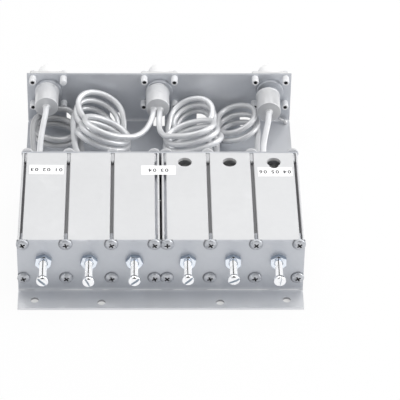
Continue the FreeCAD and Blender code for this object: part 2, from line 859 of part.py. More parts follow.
def make_rivets():
    """Blind rivets through flange and panel. Their tails stand inside, hollow where the stem broke away."""
    seat = number(panel_y + sheet_thick) + SIZE["flange_thick"]
    rivets = []
    for label, x in jack_columns:
        for across in (-1, 1):
            for up in (-1, 1):
                height = SIZE["jack_height"] + up * SIZE["rivet_spread"]
                point = Vector(number(x) + across * SIZE["rivet_spread"], seat, height)
                head = Part.makeCylinder(SIZE["rivet_head"], SIZE["rivet_head_tall"], point, Vector(0, 1, 0))
                head = head.makeFillet(SIZE["rivet_head_tall"] * 0.8, [head.Edges[0]])
                grip = SIZE["flange_thick"] + SIZE["sheet_thick"]
                shank = Part.makeCylinder(SIZE["rivet_radius"], grip, point, Vector(0, -1, 0))
                root = point - Vector(0, grip, 0)
                tail = Part.makeCylinder(SIZE["rivet_tail"], SIZE["rivet_tail_long"], root, Vector(0, -1, 0))
                rivet = head.fuse([shank, tail]).removeSplitter()
                stem_left = label == "left" and across == 1 and up == 1
                if not stem_left:
                    tip = root - Vector(0, SIZE["rivet_tail_long"] - SIZE["rivet_bore_deep"], 0)
                    deep = SIZE["rivet_bore_deep"] * 1.2
                    bore = Part.makeCylinder(SIZE["rivet_bore"], deep, tip, Vector(0, -1, 0))
                    rivet = rivet.cut(bore)
                rivets.append(rivet)
    return group_of("jack_rivets", rivets)


# Cables

def coil_turns(ends, count, start, way):
    """Points round a loose coil, twelve to a turn.

    ends are ellipses that the coil passes through, evenly spread from its first turn to its last: centre
    across, behind the rear end plate and up, radius across and radius deep, how far the back is raised and
    how far the right side is raised, in degrees. start is the angle of the first point, and way is 1 or -1
    for the sense of the winding.
    """
    steps = round(count * 12)
    points = []
    for k in range(steps + 1):
        along = k / steps * (len(ends) - 1)
        before = min(int(along), len(ends) - 2)
        part = along - before
        shape = [a + (b - a) * part for a, b in zip(ends[before], ends[before + 1])]
        x, back, z, across, deep, lean, roll = shape
        angle = math.radians(start) + way * math.radians(360.0 * count * k / steps)
        aside = math.cos(angle) * across
        behind = math.sin(angle) * deep
        points.append((
            x + aside * math.cos(math.radians(roll)),
            back + behind * math.cos(math.radians(lean)),
            z + aside * math.sin(math.radians(roll)) + behind * math.sin(math.radians(lean)),
        ))
    return points


def at_hole(name, *backs):
    """Points on the axis of a lead's hole, at distances behind the rear end plate."""
    x, z = entry(name)
    return [(number(x), back, number(z)) for back in backs]


def cable_routes():
    """Every cable's points, each one across, behind the rear end plate and up."""
    inside = -SIZE["sheet_thick"] - SIZE["lead_end"]
    routes = {}
    routes["left_port_cable"] = [
        (-78.1, 71.0, 27.9),
        (-78.3, 62.0, 27.7),
        (-79.4, 50.0, 28.5),
        (-80.4, 33.0, 31.0),
        *at_hole("c1_upper", 15, inside),
    ]
    routes["coupling_cable_1_2"] = [
        *at_hole("c1_lower", inside, 5),
        (-83.0, 16.0, 18.9),
        (-85.8, 31.0, 18.8),
        (-87.0, 46.0, 18.9),
        (-87.4, 57.5, 19.3),
        (-86.4, 66.5, 19.0),
        (-82.8, 73.8, 18.0),
        (-76.4, 78.2, 17.3),
        (-69.2, 79.2, 18.9),
        (-62.8, 79.3, 17.9),
        (-58.2, 75.8, 14.2),
        (-56.2, 68.6, 13.2),
        (-57.0, 60.6, 12.7),
        (-61.4, 53.6, 12.6),
        (-69.2, 50.2, 13.1),
        (-78.0, 52.0, 13.8),
        (-84.4, 57.4, 14.0),
        *coil_turns(
            [
                (-71.4, 64.3, 12.2, 15.3, 13.9, 4, -6),
                (-71.0, 64.0, 5.3, 15.9, 13.9, 1, -5),
            ],
            1.5, 180, -1,
        ),
        (-53.6, 50.0, 4.6),
        (-53.6, 36.0, 9.0),
        (-53.2, 20.0, 16.5),
        *at_hole("c2_lower", 6, inside),
    ]
    routes["coupling_cable_2_3"] = [
        *at_hole("c2_upper", inside, 5),
        (-55.6, 16.0, 28.5),
        (-57.8, 32.0, 22.8),
        (-59.2, 50.0, 20.5),
        *coil_turns(
            [
                (-46.7, 67.0, 12.7, 14.6, 16.5, 3, -25),
                (-43.2, 70.2, 18.8, 15.9, 13.0, 19, -25),
                (-40.4, 72.3, 24.9, 16.9, 13.1, 26, -24),
            ],
            2.5, 180, -1,
        ),
        (-24.4, 66.5, 12.4),
        (-25.1, 58.5, 6.4),
        (-26.6, 48.0, 4.3),
        (-26.2, 36.0, 4.6),
        (-24.6, 23.0, 9.0),
        (-23.2, 12.0, 17.0),
        *at_hole("c3_lower", 4, inside),
    ]
    routes["middle_port_cable_left"] = [
        (-3.95, 69.9, 26.5),
        (-3.95, 65.0, 26.5),
        (-5.9, 56.5, 24.2),
        (-10.4, 47.5, 22.8),
        (-17.0, 40.5, 23.6),
        *coil_turns(
            [
                (-35.5, 47.1, 28.7, 16.9, 14.2, -14, -25),
                (-37.5, 45.4, 22.5, 18.4, 13.0, -8, -25),
                (-39.4, 43.2, 16.0, 19.8, 10.8, -5, -23),
            ],
            2.875, -45, -1,
        ),
        (-20.6, 33.0, 11.0),
        (-18.0, 21.0, 19.0),
        (-13.0, 10.0, 30.5),
        *at_hole("c3_upper", 4, inside),
    ]
    routes["middle_port_cable_right"] = [
        (0.15, 69.9, 26.5),
        (0.15, 65.0, 26.5),
        (-0.4, 55.5, 24.2),
        (0.2, 47.0, 23.4),
        (3.8, 39.6, 24.6),
        *coil_turns(
            [
                (20.9, 45.6, 28.7, 16.6, 12.8, -13, 17),
                (21.6, 43.1, 21.8, 19.6, 12.5, -7, 18),
                (24.5, 40.6, 15.4, 20.4, 12.4, -8, 16),
            ],
            2.875, -135, 1,
        ),
        (5.2, 31.0, 12.4),
        (8.2, 20.0, 20.0),
        (10.8, 10.0, 30.5),
        *at_hole("c4_upper", 4, inside),
    ]
    routes["coupling_cable_4_5"] = [
        *at_hole("c5_upper", inside, 5),
        (38.9, 14.0, 25.5),
        (36.6, 27.0, 17.2),
        (35.0, 41.0, 10.2),
        (34.8, 55.0, 8.6),
        *coil_turns(
            [
                (24.8, 68.5, 10.5, 12.6, 14.8, 9, 17),
                (24.8, 69.2, 16.4, 14.9, 13.2, 17, 15),
                (21.6, 69.5, 22.6, 15.4, 13.8, 15, 22),
            ],
            2.5, 0, 1,
        ),
        (5.8, 62.0, 11.6),
        (6.2, 52.5, 6.4),
        (8.0, 40.0, 5.0),
        (10.2, 26.0, 9.0),
        (11.4, 13.0, 17.5),
        *at_hole("c4_lower", 4, inside),
    ]
    routes["coupling_cable_5_6"] = [
        *at_hole("c6_lower", inside, 5),
        (67.6, 16.0, 18.0),
        (66.6, 31.0, 13.6),
        (67.4, 48.0, 10.8),
        *coil_turns(
            [
                (55.0, 65.3, 6.8, 14.4, 14.4, -8, 16),
                (54.6, 68.3, 12.2, 14.8, 13.2, -1, 18),
                (53.2, 71.8, 20.2, 13.5, 12.9, -4, 22),
            ],
            2.5, 0, 1,
        ),
        (40.3, 64.5, 14.6),
        (39.9, 55.0, 13.2),
        (39.4, 44.0, 11.2),
        (39.6, 32.0, 11.2),
        (39.8, 18.0, 16.0),
        *at_hole("c5_lower", 5, inside),
    ]
    routes["right_port_cable"] = [
        (75.7, 65.5, 27.9),
        (75.4, 57.5, 27.7),
        (73.8, 46.0, 28.4),
        (71.4, 31.0, 31.0),
        *at_hole("c6_upper", 14, inside),
    ]
    return routes


# Share of the shorter of two runs that the arc between them takes up.
ARC_SHARE = 0.45


def path_edges(points):
    """Straight runs joined by tangent arcs, each as large as its two runs allow, and the arcs' radii."""
    corners = [Vector(*point) for point in points]
    edges = []
    radii = []
    start = corners[0]
    for before, corner, after in zip(corners, corners[1:], corners[2:]):
        to_before = before - corner
        to_after = after - corner
        turn = math.pi - to_before.getAngle(to_after)
        setback = ARC_SHARE * min(to_before.Length, to_after.Length)
        radius = setback / math.tan(turn / 2)
        to_before.normalize()
        to_after.normalize()
        arc_start = corner + to_before * setback
        arc_end = corner + to_after * setback
        bisector = to_before + to_after
        bisector.normalize()
        middle = corner + bisector * (radius / math.cos(turn / 2) - radius)
        edges.append(Part.LineSegment(start, arc_start).toShape())
        edges.append(Part.Arc(arc_start, middle, arc_end).toShape())
        radii.append(radius)
        start = arc_end
    edges.append(Part.LineSegment(start, corners[-1]).toShape())
    return edges, radii


def make_cable(label, points):
    """A cable as a plain round tube along its route."""
    here = [(x, number(back_y) + back, z) for x, back, z in points]
    edges, radii = path_edges(here)
    wire = Part.Wire(edges)
    direction = Vector(*here[1]) - Vector(*here[0])
    section = Part.Wire(Part.Circle(Vector(*here[0]), direction, SIZE["cable_radius"]).toShape())
    shape = wire.makePipeShell([section], True, False)
    expected = math.pi * SIZE["cable_radius"] ** 2 * wire.Length
    share = shape.Volume / expected
    print(f"{label}: length {wire.Length:.0f}, least radius {min(radii):.1f}, volume {share:.4f}")
    feature = doc.addObject("Part::Feature", label)
    feature.Label = label
    feature.Shape = shape
    return feature


def make_tap_wires():
    """The bare inner conductor of every lead, running beside its coil and soldered to the first turn."""
    taps = []
    for name, (cavity, turn) in ENTRY_TURNS.items():
        x, z = entry(name)
        begin = number(back_front) - SIZE["lead_end"]
        reach = SIZE["coil_back"] + SIZE["coil_pitch"] * turn / 360 - SIZE["lead_end"]
        spot = Vector(number(x), begin, number(z))
        taps.append(Part.makeCylinder(SIZE["tap_radius"], reach, spot, Vector(0, -1, 0)))
    return group_of("tap_wires", taps)


# Small things that the case carries

# Each label: where it is across, how far its middle lies forward of the rear plate, and its turn.
LABEL_PLACES = [
    ("left", cell_axes[0] + 0.25, 19.5, -1.0),
    ("middle", -1.3, 20.1, 0.0),
    ("right", cell_axes[5] + 0.35, 21.8, 0.0),
]


def make_label(name, x, forward, turn):
    """A paper label on top of the blocks, forward of the rear end plate's back."""
    body = new_body(f"label_{name}")
    sketch = new_sketch(body, f"label_outline_{name}", "XY_Plane")
    half_long = size("label_long") / 2
    half_wide = size("label_wide") / 2
    draw_rectangle(sketch, -half_long, -half_wide, half_long, half_wide)
    pad(body, sketch, size("label_thick"), both_ways=False)
    place(body, x, back_y - forward, plate_height, Rotation(Vector(0, 0, 1), turn))
    if name == "right":
        notch = new_sketch(body, "label_notch", "XY_Plane")
        drill_x = cell_axes[5] + size("top_hole_third") - x
        drill_y = forward - size("top_hole_back") - size("slip_forward")
        draw_circle(notch, drill_x, drill_y, size("slip_hole"))
        pocket(body, notch, size("label_thick") * 4)
    return body


def make_stuck_stem():
    """The broken stem of a blind rivet, caught by the paint in the corner between floor and panel."""
    ball = Vector(
        number(half_width) - SIZE["stem_in"],
        number(panel_y) - SIZE["bend_inside"],
        SIZE["sheet_thick"] + SIZE["stem_ball"] + SIZE["paint_gap"],
    )
    end = ball + Vector(-SIZE["stem_long"], SIZE["stem_back"], SIZE["stem_up"])
    stem = Part.makeCylinder(SIZE["stem_radius"], (end - ball).Length, ball, end - ball)
    head = Part.makeSphere(SIZE["stem_ball"], ball)
    feature = doc.addObject("Part::Feature", "stuck_rivet_stem")
    feature.Label = "stuck_rivet_stem"
    feature.Shape = head.fuse(stem)
    return feature


# Assembly

HOOD_LEADS = {"left": [(0.0, 0.0)], "middle": [(-2.75, -1.4), (1.35, -1.4)], "right": [(0.0, 0.0)]}


def build_pieces():
    pieces = [make_front_plate(), make_rear_tray()]
    pieces += [make_block(label, side) for label, side in SIDES]
    template = screw_template()
    pieces += make_end_screws(template)
    for i, axis in enumerate(cell_axes):
        pieces += [make_tuning_screw(i, axis), make_lock_nut(i, axis)]
        pieces += [make_former(i, axis), make_coil(i, axis)]
    pieces += [make_clinch_nuts(), make_tap_wires()]
    for label, x in jack_columns:
        hood_x = x - size("hood_aside_" + label)
        pieces += [make_jack(label, x), make_insulator(label, x), make_contact(label, x)]
        pieces.append(make_hood(label, hood_x, HOOD_LEADS[label]))
    pieces.append(make_rivets())
    pieces += [make_cable(label, points) for label, points in cable_routes().items()]
    pieces += [make_label(*place_of_label) for place_of_label in LABEL_PLACES]
    pieces.append(make_stuck_stem())
    return pieces


def check_document(pieces):
    """Stop if a feature failed, a cut took nothing away or a piece is empty or invalid."""
    for thing in doc.Objects:
        if "Invalid" in thing.State or "Error" in thing.State:
            raise RuntimeError(f"{thing.Name} is {thing.State}")
        if thing.TypeId in ("PartDesign::Pocket", "PartDesign::Groove"):
            taken = thing.BaseFeature.Shape.Volume - thing.Shape.Volume
            if taken < 1e-4:
                raise RuntimeError(f"{thing.Name} cuts nothing")
    for piece in pieces:
        shape = piece.Shape
        if shape.isNull() or not shape.isValid() or not shape.Solids or shape.Volume <= 0:
            raise RuntimeError(f"{piece.Label} has no valid solid")


def write_pieces(pieces):
    os.makedirs("parts", exist_ok=True)
    for piece in pieces:
        piece.Shape.exportStep(f"parts/{piece.Label}.step")


all_pieces = build_pieces()
doc.recompute()
check_document(all_pieces)
write_pieces(all_pieces)
whole = Part.makeCompound([piece.Shape for piece in all_pieces]).BoundBox
print(f"{len(all_pieces)} pieces, X {whole.XMin:.2f} to {whole.XMax:.2f}, "
      f"Y {whole.YMin:.2f} to {whole.YMax:.2f}, Z {whole.ZMin:.2f} to {whole.ZMax:.2f}")
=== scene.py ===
"""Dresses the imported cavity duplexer: leads, screws, nuts, hoods, jacks, paint, plating, light and camera.

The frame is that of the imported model: +Z up, tuning screws toward -Y, jacks toward +Y. Sizes and places are
written in millimetres, and the meshes are in metres.
"""

import math
import random

import bpy
from mathutils import Matrix, Vector


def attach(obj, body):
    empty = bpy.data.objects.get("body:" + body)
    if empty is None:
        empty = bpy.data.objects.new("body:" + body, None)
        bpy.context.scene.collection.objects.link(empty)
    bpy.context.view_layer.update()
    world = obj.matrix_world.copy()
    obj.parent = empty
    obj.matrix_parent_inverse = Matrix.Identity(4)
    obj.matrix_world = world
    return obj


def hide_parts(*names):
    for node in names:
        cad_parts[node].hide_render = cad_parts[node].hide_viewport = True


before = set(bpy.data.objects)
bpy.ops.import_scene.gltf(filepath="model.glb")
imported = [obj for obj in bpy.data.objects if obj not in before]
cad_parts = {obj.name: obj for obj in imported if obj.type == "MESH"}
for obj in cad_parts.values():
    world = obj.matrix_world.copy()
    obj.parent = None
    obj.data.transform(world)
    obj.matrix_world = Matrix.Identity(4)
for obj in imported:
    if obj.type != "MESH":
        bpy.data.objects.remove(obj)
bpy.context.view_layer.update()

MM = 0.001

# The case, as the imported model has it
PLATE_FACE = -90.6
REAR_PLATE = 2.5
PANEL_INSIDE = 91.0
PANEL_OUTSIDE = 92.6
CASE_TOP = 42.5
SHEET_THICK = 1.6
FOOT_FRONT = -108.4
HALF_WIDTH = 92.0
CELL_HEIGHT = 26.4
CELLS = [-75.35, -46.2, -17.05, 17.05, 46.2, 75.35]
CHANNELS = [4.0, 31.625, 60.775, 88.4]
SCREW_COLUMNS = [-x for x in reversed(CHANNELS)] + CHANNELS
SCREW_ROWS = [40.4, 12.4]
JACK_HEIGHT = 27.9
JACKS = {"left": -77.3, "middle": 0.0, "right": 77.3}
RIVET_SPREAD = 10.63

dice = random.Random(7)


# Camera

CAMERA_PLACE = (-13.76, -1279.58, 1039.66)
CAMERA_TURNS = (1.83, 39.0, 1.15)
SENSOR_WIDE = 36.0
LENS_IN_WIDTHS = 6.09


def at(x, y, z):
    """The move to a place in millimetres."""
    return Matrix.Translation((x * MM, y * MM, z * MM))


def make_camera():
    """The photographer's place, found by fitting a lens to the case's corners."""
    yaw, pitch, roll = (math.radians(angle) for angle in CAMERA_TURNS)
    ahead = Vector((math.sin(yaw) * math.cos(pitch), math.cos(yaw) * math.cos(pitch), -math.sin(pitch)))
    level = Vector((math.cos(yaw), -math.sin(yaw), 0.0))
    upright = level.cross(ahead)
    right = level * math.cos(roll) + upright * math.sin(roll)
    up = upright * math.cos(roll) - level * math.sin(roll)
    data = bpy.data.cameras.new("camera")
    data.sensor_width = SENSOR_WIDE
    data.lens = SENSOR_WIDE * LENS_IN_WIDTHS
    data.clip_end = 20.0
    camera = bpy.data.objects.new("camera", data)
    bpy.context.scene.collection.objects.link(camera)
    turn = Matrix((right, up, -ahead)).transposed().to_4x4()
    camera.matrix_world = at(*CAMERA_PLACE) @ turn
    bpy.context.scene.camera = camera


# Shader sums

class Value:
    """A node's output that takes part in sums, so that shader maths reads as plain expressions."""

    def __init__(self, finish, socket):
        self.finish = finish
        self.socket = socket

    def sum(self, operation, *others):
        inputs = dict(enumerate((self, *others)))
        return self.finish.node("ShaderNodeMath", {"operation": operation}, inputs)

    def __add__(self, other):
        return self.sum("ADD", other)

    __radd__ = __add__

    def __mul__(self, other):
        return self.sum("MULTIPLY", other)

    __rmul__ = __mul__

    def __sub__(self, other):
        return self.sum("SUBTRACT", other)

    def __rsub__(self, other):
        return self.finish.node("ShaderNodeMath", {"operation": "SUBTRACT"}, {0: other, 1: self})

    def __abs__(self):
        return self.sum("ABSOLUTE")

    def between(self, low, high):
        """0 below low, 1 above high and a smooth slope between."""
        settings = {"interpolation_type": "SMOOTHSTEP"}
        return self.finish.node("ShaderNodeMapRange", settings, {0: self, 1: low, 2: high})

    def near(self, middle, reach):
        """1 at a value and 0 at a distance from it."""
        return 1 - abs(self - middle).between(0.0, reach)


class Finish:
    """A material under construction."""

    def __init__(self, name):
        self.material = bpy.data.materials.new(name)
        self.material.use_nodes = True
        self.tree = self.material.node_tree
        self.surface = next(node for node in self.tree.nodes if node.type == "BSDF_PRINCIPLED")

    def node(self, kind, settings=None, inputs=None, output=0):
        """Add a node: its settings first, then the values or links of its sockets. Gives one output."""
        made = self.tree.nodes.new(kind)
        for name, setting in (settings or {}).items():
            setattr(made, name, setting)
        for name, value in (inputs or {}).items():
            self.join(value, made.inputs[name])
        return Value(self, made.outputs[output])

    def join(self, value, socket):
        if isinstance(value, Value):
            self.tree.links.new(value.socket, socket)
        elif socket.type == "RGBA" and len(value) == 3:
            socket.default_value = (*value, 1.0)
        else:
            socket.default_value = value

    def place(self):
        """Where a point lies on the object, in metres."""
        return self.node("ShaderNodeTexCoord", output="Object")

    def across(self, axis):
        """One coordinate of the place, in millimetres."""
        return self.node("ShaderNodeSeparateXYZ", None, {0: self.place()}, output=axis) * (1 / MM)

    def stretched(self, scale):
        """The place with each axis scaled, for streaks and scratches."""
        return self.node("ShaderNodeMapping", None, {"Vector": self.place(), "Scale": scale})

    def noise(self, scale, detail=3.0, rough=0.55, where=None):
        inputs = {"Vector": where or self.place(), "Scale": scale, "Detail": detail, "Roughness": rough}
        return self.node("ShaderNodeTexNoise", None, inputs)

    def cells(self, scale):
        inputs = {"Vector": self.place(), "Scale": scale}
        return self.node("ShaderNodeTexVoronoi", None, inputs, output="Distance")

    def blend(self, share, first, second):
        """A colour between two colours."""
        settings = {"data_type": "RGBA", "clamp_factor": True}
        return self.node("ShaderNodeMix", settings, {0: share, 6: first, 7: second}, output=2)

    def relief(self, height, deep, strength=0.5):
        """A bump of a depth in millimetres."""
        inputs = {"Height": height, "Distance": deep * MM, "Strength": strength}
        return self.node("ShaderNodeBump", None, inputs)

    def ray(self, kind):
        """1 where the light path is of a kind: Camera, Glossy or Transmission."""
        return self.node("ShaderNodeLightPath", output=f"Is {kind} Ray")

    def set(self, **sockets):
        """Values or links of the surface, with the socket names written with underscores."""
        for name, value in sockets.items():
            self.join(value, self.surface.inputs[name.replace("_", " ")])
        return self.material

    def dress(self, colour, metal, rough, bumps):
        """The four that nearly every finish has."""
        return self.set(Base_Color=colour, Metallic=metal, Roughness=rough, Normal=bumps)


# Finishes

# Near white for the painted highlights along the bends
BARE_BEND = (0.95, 0.95, 0.95)
# Paler paint for painted light
DUST = (0.80, 0.81, 0.83)
# Dark paint for painted shade
GRIME = (0.13, 0.13, 0.14)
# Painted shade in the screw channels, paler in the wide middle channel
BARE_CHANNEL = (0.34, 0.34, 0.35)
MIDDLE_CHANNEL = (0.78, 0.79, 0.82)
BRUSHED_LIGHT = (0.76, 0.766, 0.78)
BRUSHED_SHADE = (0.70, 0.708, 0.725)
BRUSHED_THIN = (0.47, 0.48, 0.50)


def toned(tone, colour):
    return tuple(tone * part for part in colour)


def sprayed_paint(name, light, shade, rough, peel=1.0, grime=0.25, dust=0.3, flake=0.5, rubbed=None,
                  settled=None, soiled=None, bare_inside=None):
    """Silver lacquer: metal flake under a cloudy tone, orange peel, patches of dust and small dark specks.

    The four masks, in the order of the arguments, say where a painted highlight lies along the bends, where
    painted light makes the paint paler, where painted shade darkens it and where the screw channels are
    painted in shade.
    """
    f = Finish(name)
    mottle = f.noise(260.0)
    cloud = f.noise(22.0, 4.0) * 0.7 + mottle * 0.3
    colour = f.blend(cloud.between(0.30, 0.70), shade, light)
    patch = f.noise(60.0, 5.0, 0.7).between(0.56, 0.70)
    grey_dust = tuple(0.5 * (part + 0.8) for part in light)
    colour = f.blend(patch * dust, colour, grey_dust)
    speck = 1 - f.cells(420.0).between(0.03, 0.10)
    rare = f.noise(130.0, 1.0).between(0.60, 0.66)
    colour = f.blend(speck * rare * grime, colour, toned(0.45, shade))
    skin = f.noise(900.0, 2.0) * 0.7 + f.noise(2600.0, 1.0) * 0.3
    roughness = rough + (mottle - 0.5) * 0.16 + patch * 0.12
    # Painted light: paler paint where more light falls
    if settled:
        colour = f.blend(settled(f), colour, DUST)
    # Painted shade: darker paint where shadows fall
    if soiled:
        colour = f.blend(soiled(f), colour, GRIME)
    # Painted highlight: near white and without flake, along the bends
    if rubbed:
        bare = rubbed(f)
        colour = f.blend(bare, colour, BARE_BEND)
        flake = flake - bare * flake
    # Painted shade in the screw channels of the blocks
    if bare_inside:
        middle = 1 - abs(f.across(0)).between(6.0, 8.0)
        colour = f.blend(bare_inside(f), colour, f.blend(middle, BARE_CHANNEL, MIDDLE_CHANNEL))
    return f.dress(colour, flake, roughness, f.relief(skin, 0.06 * peel))


def nearest(value, places):
    """How far a value is from the nearest of some places."""
    gaps = [abs(value - place) for place in places]
    least = gaps[0]
    for gap in gaps[1:]:
        least = least.sum("MINIMUM", gap)
    return least


def on_sheet(f):
    """1 on the flat foot or floor, and 0 above its bend."""
    return 1 - f.across(2).between(2.0, 3.5)


def front_bend(f):
    """A painted highlight: a thin bright line along the foot's bend, in dashes."""
    along = f.across(1) - PLATE_FACE + f.across(2) - SHEET_THICK
    return along.near(0.0, 0.40) * f.noise(62.0, 1.0).between(0.45, 0.53)


def rear_bend(f):
    """Such a painted highlight along the foot of the jack panel, with fewer gaps."""
    along = PANEL_INSIDE - f.across(1) - f.across(2) + SHEET_THICK
    return along.near(0.0, 0.36) * f.noise(40.0, 1.0).between(0.36, 0.44)


def front_grime(f):
    """Painted shade: a dark crescent round the lower left of every screw head, where its shadow falls, and
    dark walls in the holes of the foot.
    """
    aside = nearest(abs(f.across(0) + 0.30), CHANNELS)
    above = nearest(f.across(2) + 0.30, SCREW_ROWS)
    away = (aside * aside + above * above).sum("SQRT")
    round_heads = (1 - away.between(4.05, 4.85)) * (0.55 + f.noise(240.0, 2.0) * 0.6)
    over_foot = f.across(2).between(SHEET_THICK - 0.25, SHEET_THICK - 0.10)
    on_front_edge = 1 - f.across(1).between(FOOT_FRONT + 1.1, FOOT_FRONT + 1.4)
    on_plate = f.across(1).between(PLATE_FACE - 1.4, PLATE_FACE - 0.9)
    at_ends = abs(f.across(0)).between(HALF_WIDTH - 1.2, HALF_WIDTH - 1.0)
    in_holes = 1 - (over_foot + on_front_edge + on_plate + at_ends).between(0.0, 1.0)
    return round_heads.sum("MINIMUM", 0.85) * f.across(2).between(5.0, 6.0) + in_holes * 0.6


def foot_dust(f):
    """Painted light: the foot's paint is paler toward its front edge, away from the plate, toward its ends,
    and a little paler all over.
    """
    forward = 1 - f.across(1).between(-106.0, -94.0)
    ends = abs(f.across(0)).between(70.0, HALF_WIDTH)
    return on_sheet(f) * (forward * 0.45 + ends * 0.20 + 0.18)


def tray_dust(f):
    """Painted light: paler paint on the open floor at the right end of the tray, where the light comes in,
    and paler patches of the panel, more toward its top.
    """
    pale = f.across(0).near(38.0, 34.0) * 0.36 + f.across(0).near(-22.0, 24.0) * 0.30
    pale = pale + f.across(2).between(26.0, 41.0) * 0.16
    return on_sheet(f) * f.across(0).between(50.0, 86.0) * 0.65 + (1 - on_sheet(f)) * pale


def tray_grime(f):
    """Painted shade: darker paint on the floor under the coils, and on the panel behind the left coils, where
    their shadows fall.
    """
    behind_coils = (1 - on_sheet(f)) * f.across(0).near(-62.0, 34.0) * (1 - f.across(2).between(22.0, 38.0))
    return on_sheet(f) * f.across(0).near(0.0, 60.0) * 0.14 + behind_coils * 0.20


def screw_channels(f):
    """1 inside the channels that the end screws are driven into, which are painted dark as painted shade,
    paler in the middle channel.
    """
    aside = abs(f.across(0))
    inside = sum(aside.near(x, 2.4) for x in CHANNELS)
    return inside.between(0.0, 0.12) * (1 - f.across(2).between(CASE_TOP - 1.4, CASE_TOP - 0.6))


def sheet_paint(name, rough, **masks):
    return sprayed_paint(name, (0.600, 0.620, 0.660), (0.550, 0.572, 0.612), rough, **masks)


def block_paint():
    return sprayed_paint("block_paint", (0.715, 0.720, 0.730), (0.690, 0.695, 0.705), rough=0.46, peel=0.6,
                         grime=0.35, dust=0.1, flake=0.2, bare_inside=screw_channels)


def brushed_paint(name, tone=1.0, rough=0.28, lumpy=1.0):
    """The same paint brushed thickly over the leads and hoods, glossier, with runs and thin places."""
    f = Finish(name)
    cloud = f.noise(60.0)
    thin = f.noise(180.0, 4.0, 0.6).between(0.62, 0.76)
    colour = f.blend(cloud.between(0.3, 0.7), toned(tone, BRUSHED_SHADE), toned(tone, BRUSHED_LIGHT))
    lumps = f.noise(70.0, 1.0) * 0.98 + f.noise(900.0, 2.0) * 0.02
    return f.set(Base_Color=f.blend(thin * 0.30, colour, BRUSHED_THIN), Metallic=0.30,
                 Roughness=rough + cloud * 0.12 + thin * 0.12, Normal=f.relief(lumps, 0.2 * lumpy, 0.35),
                 Coat_Weight=0.15, Coat_Roughness=0.16)


def hood_paint(name, tone):
    return brushed_paint(name, tone, rough=0.30, lumpy=0.5)


def bright_zinc(name="bright_zinc", tint=(0.95, 0.96, 0.98), rough=0.16):
    """Blue-bright zinc plate with fine turning marks and faint cloudy spots."""
    f = Finish(name)
    marks = f.noise(700.0, 2.0, where=f.stretched((1.0, 6.0, 1.0)))
    spots = f.noise(240.0, 4.0).between(0.52, 0.70)
    colour = f.blend(spots * 0.5, tint, toned(0.72, tint))
    return f.dress(colour, 1.0, rough + spots * 0.18, f.relief(marks, 0.03))


def dull_zinc():
    """Zinc plate gone grey, as on the plate screws."""
    f = Finish("dull_zinc")
    spots = f.noise(420.0, 4.0).between(0.42, 0.66)
    colour = f.blend(spots, (0.56, 0.575, 0.605), (0.44, 0.455, 0.485))
    grain = f.noise(1500.0, 2.0)
    return f.dress(colour, 0.75, 0.36 + spots * 0.2, f.relief(grain, 0.04))


def recess_dirt():
    """Painted shade: near black in a driver recess and deep in the rivets' hollows."""
    f = Finish("recess_dirt")
    grain = f.noise(2200.0)
    colour = f.blend(grain.between(0.35, 0.65), (0.045, 0.045, 0.05), (0.12, 0.12, 0.125))
    return f.dress(colour, 0.3, 0.7, f.relief(grain, 0.03, 1.0))


def slot_shade():
    """The walls of a tuning screw's sawn slot, rough, with painted shade: darker and bluer than the head."""
    f = Finish("slot_shade")
    saw = f.noise(1400.0, 2.0)
    colour = f.blend(saw, (0.40, 0.46, 0.53), (0.52, 0.58, 0.65))
    return f.dress(colour, 0.2, 0.5 + saw * 0.1, f.relief(saw, 0.03, 1.0))


def nut_flats():
    """The flats of a nut, bluer and duller than its turned faces, and darker as a painted dark reflection."""
    f = Finish("nut_flats")
    spots = f.noise(300.0).between(0.40, 0.70)
    colour = f.blend(spots, (0.27, 0.32, 0.40), (0.36, 0.42, 0.50))
    grain = f.noise(900.0, 2.0)
    return f.dress(colour, 0.35, 0.34 + spots * 0.1, f.relief(grain, 0.03))


def jack_nickel(name="jack_nickel", tone=1.0):
    """Satin nickel painted nearly white, as painted light for the glare on it, duller in spots."""
    f = Finish(name)
    spots = f.noise(300.0, 4.0).between(0.55, 0.72)
    colour = f.blend(spots * 0.5, toned(tone, (0.97, 0.97, 0.97)), toned(tone, (0.90, 0.90, 0.89)))
    grain = f.noise(1300.0, 2.0)
    return f.dress(colour, 0.1, 0.38 + spots * 0.2, f.relief(grain, 0.02))


def rivet_paint():
    """Aluminium rivets with the panel's paint half worn off."""
    f = Finish("rivet_paint")
    bare = f.noise(500.0, 4.0).between(0.50, 0.62)
    colour = f.blend(bare, (0.76, 0.77, 0.79), (0.88, 0.88, 0.89))
    grain = f.noise(1100.0, 2.0)
    return f.dress(colour, bare * 0.5, 0.34 + bare * 0.08, f.relief(grain, 0.04))


def turned_plastic():
    f = Finish("turned_plastic")
    rings = f.noise(900.0, 2.0)
    colour = f.blend(f.noise(150.0), (0.80, 0.80, 0.77), (0.88, 0.88, 0.86))
    return f.dress(colour, 0.0, 0.45 + rings * 0.1, f.relief(rings, 0.02))


def contact_brass():
    f = Finish("contact_brass")
    stain = f.noise(600.0, 4.0).between(0.45, 0.7)
    colour = f.blend(stain * 0.6, (0.83, 0.68, 0.36), (0.55, 0.40, 0.20))
    return f.dress(colour, 1.0, 0.24 + stain * 0.2, f.relief(stain, 0.01))


def silvered_copper():
    f = Finish("silvered_copper")
    tarnish = f.noise(320.0, 4.0).between(0.40, 0.68)
    colour = f.blend(tarnish * 0.7, (0.85, 0.80, 0.74), (0.66, 0.44, 0.32))
    grain = f.noise(1500.0)
    return f.dress(colour, 1.0, 0.25 + tarnish * 0.2, f.relief(grain, 0.02))


def label_paper():
    f = Finish("label_paper")
    fibre = f.noise(1800.0)
    grey = f.noise(120.0).between(0.55, 0.75)
    colour = f.blend(grey * 0.25, (0.97, 0.97, 0.97), (0.90, 0.90, 0.90))
    return f.dress(colour, 0.0, 0.62 + fibre * 0.1, f.relief(fibre, 0.02))


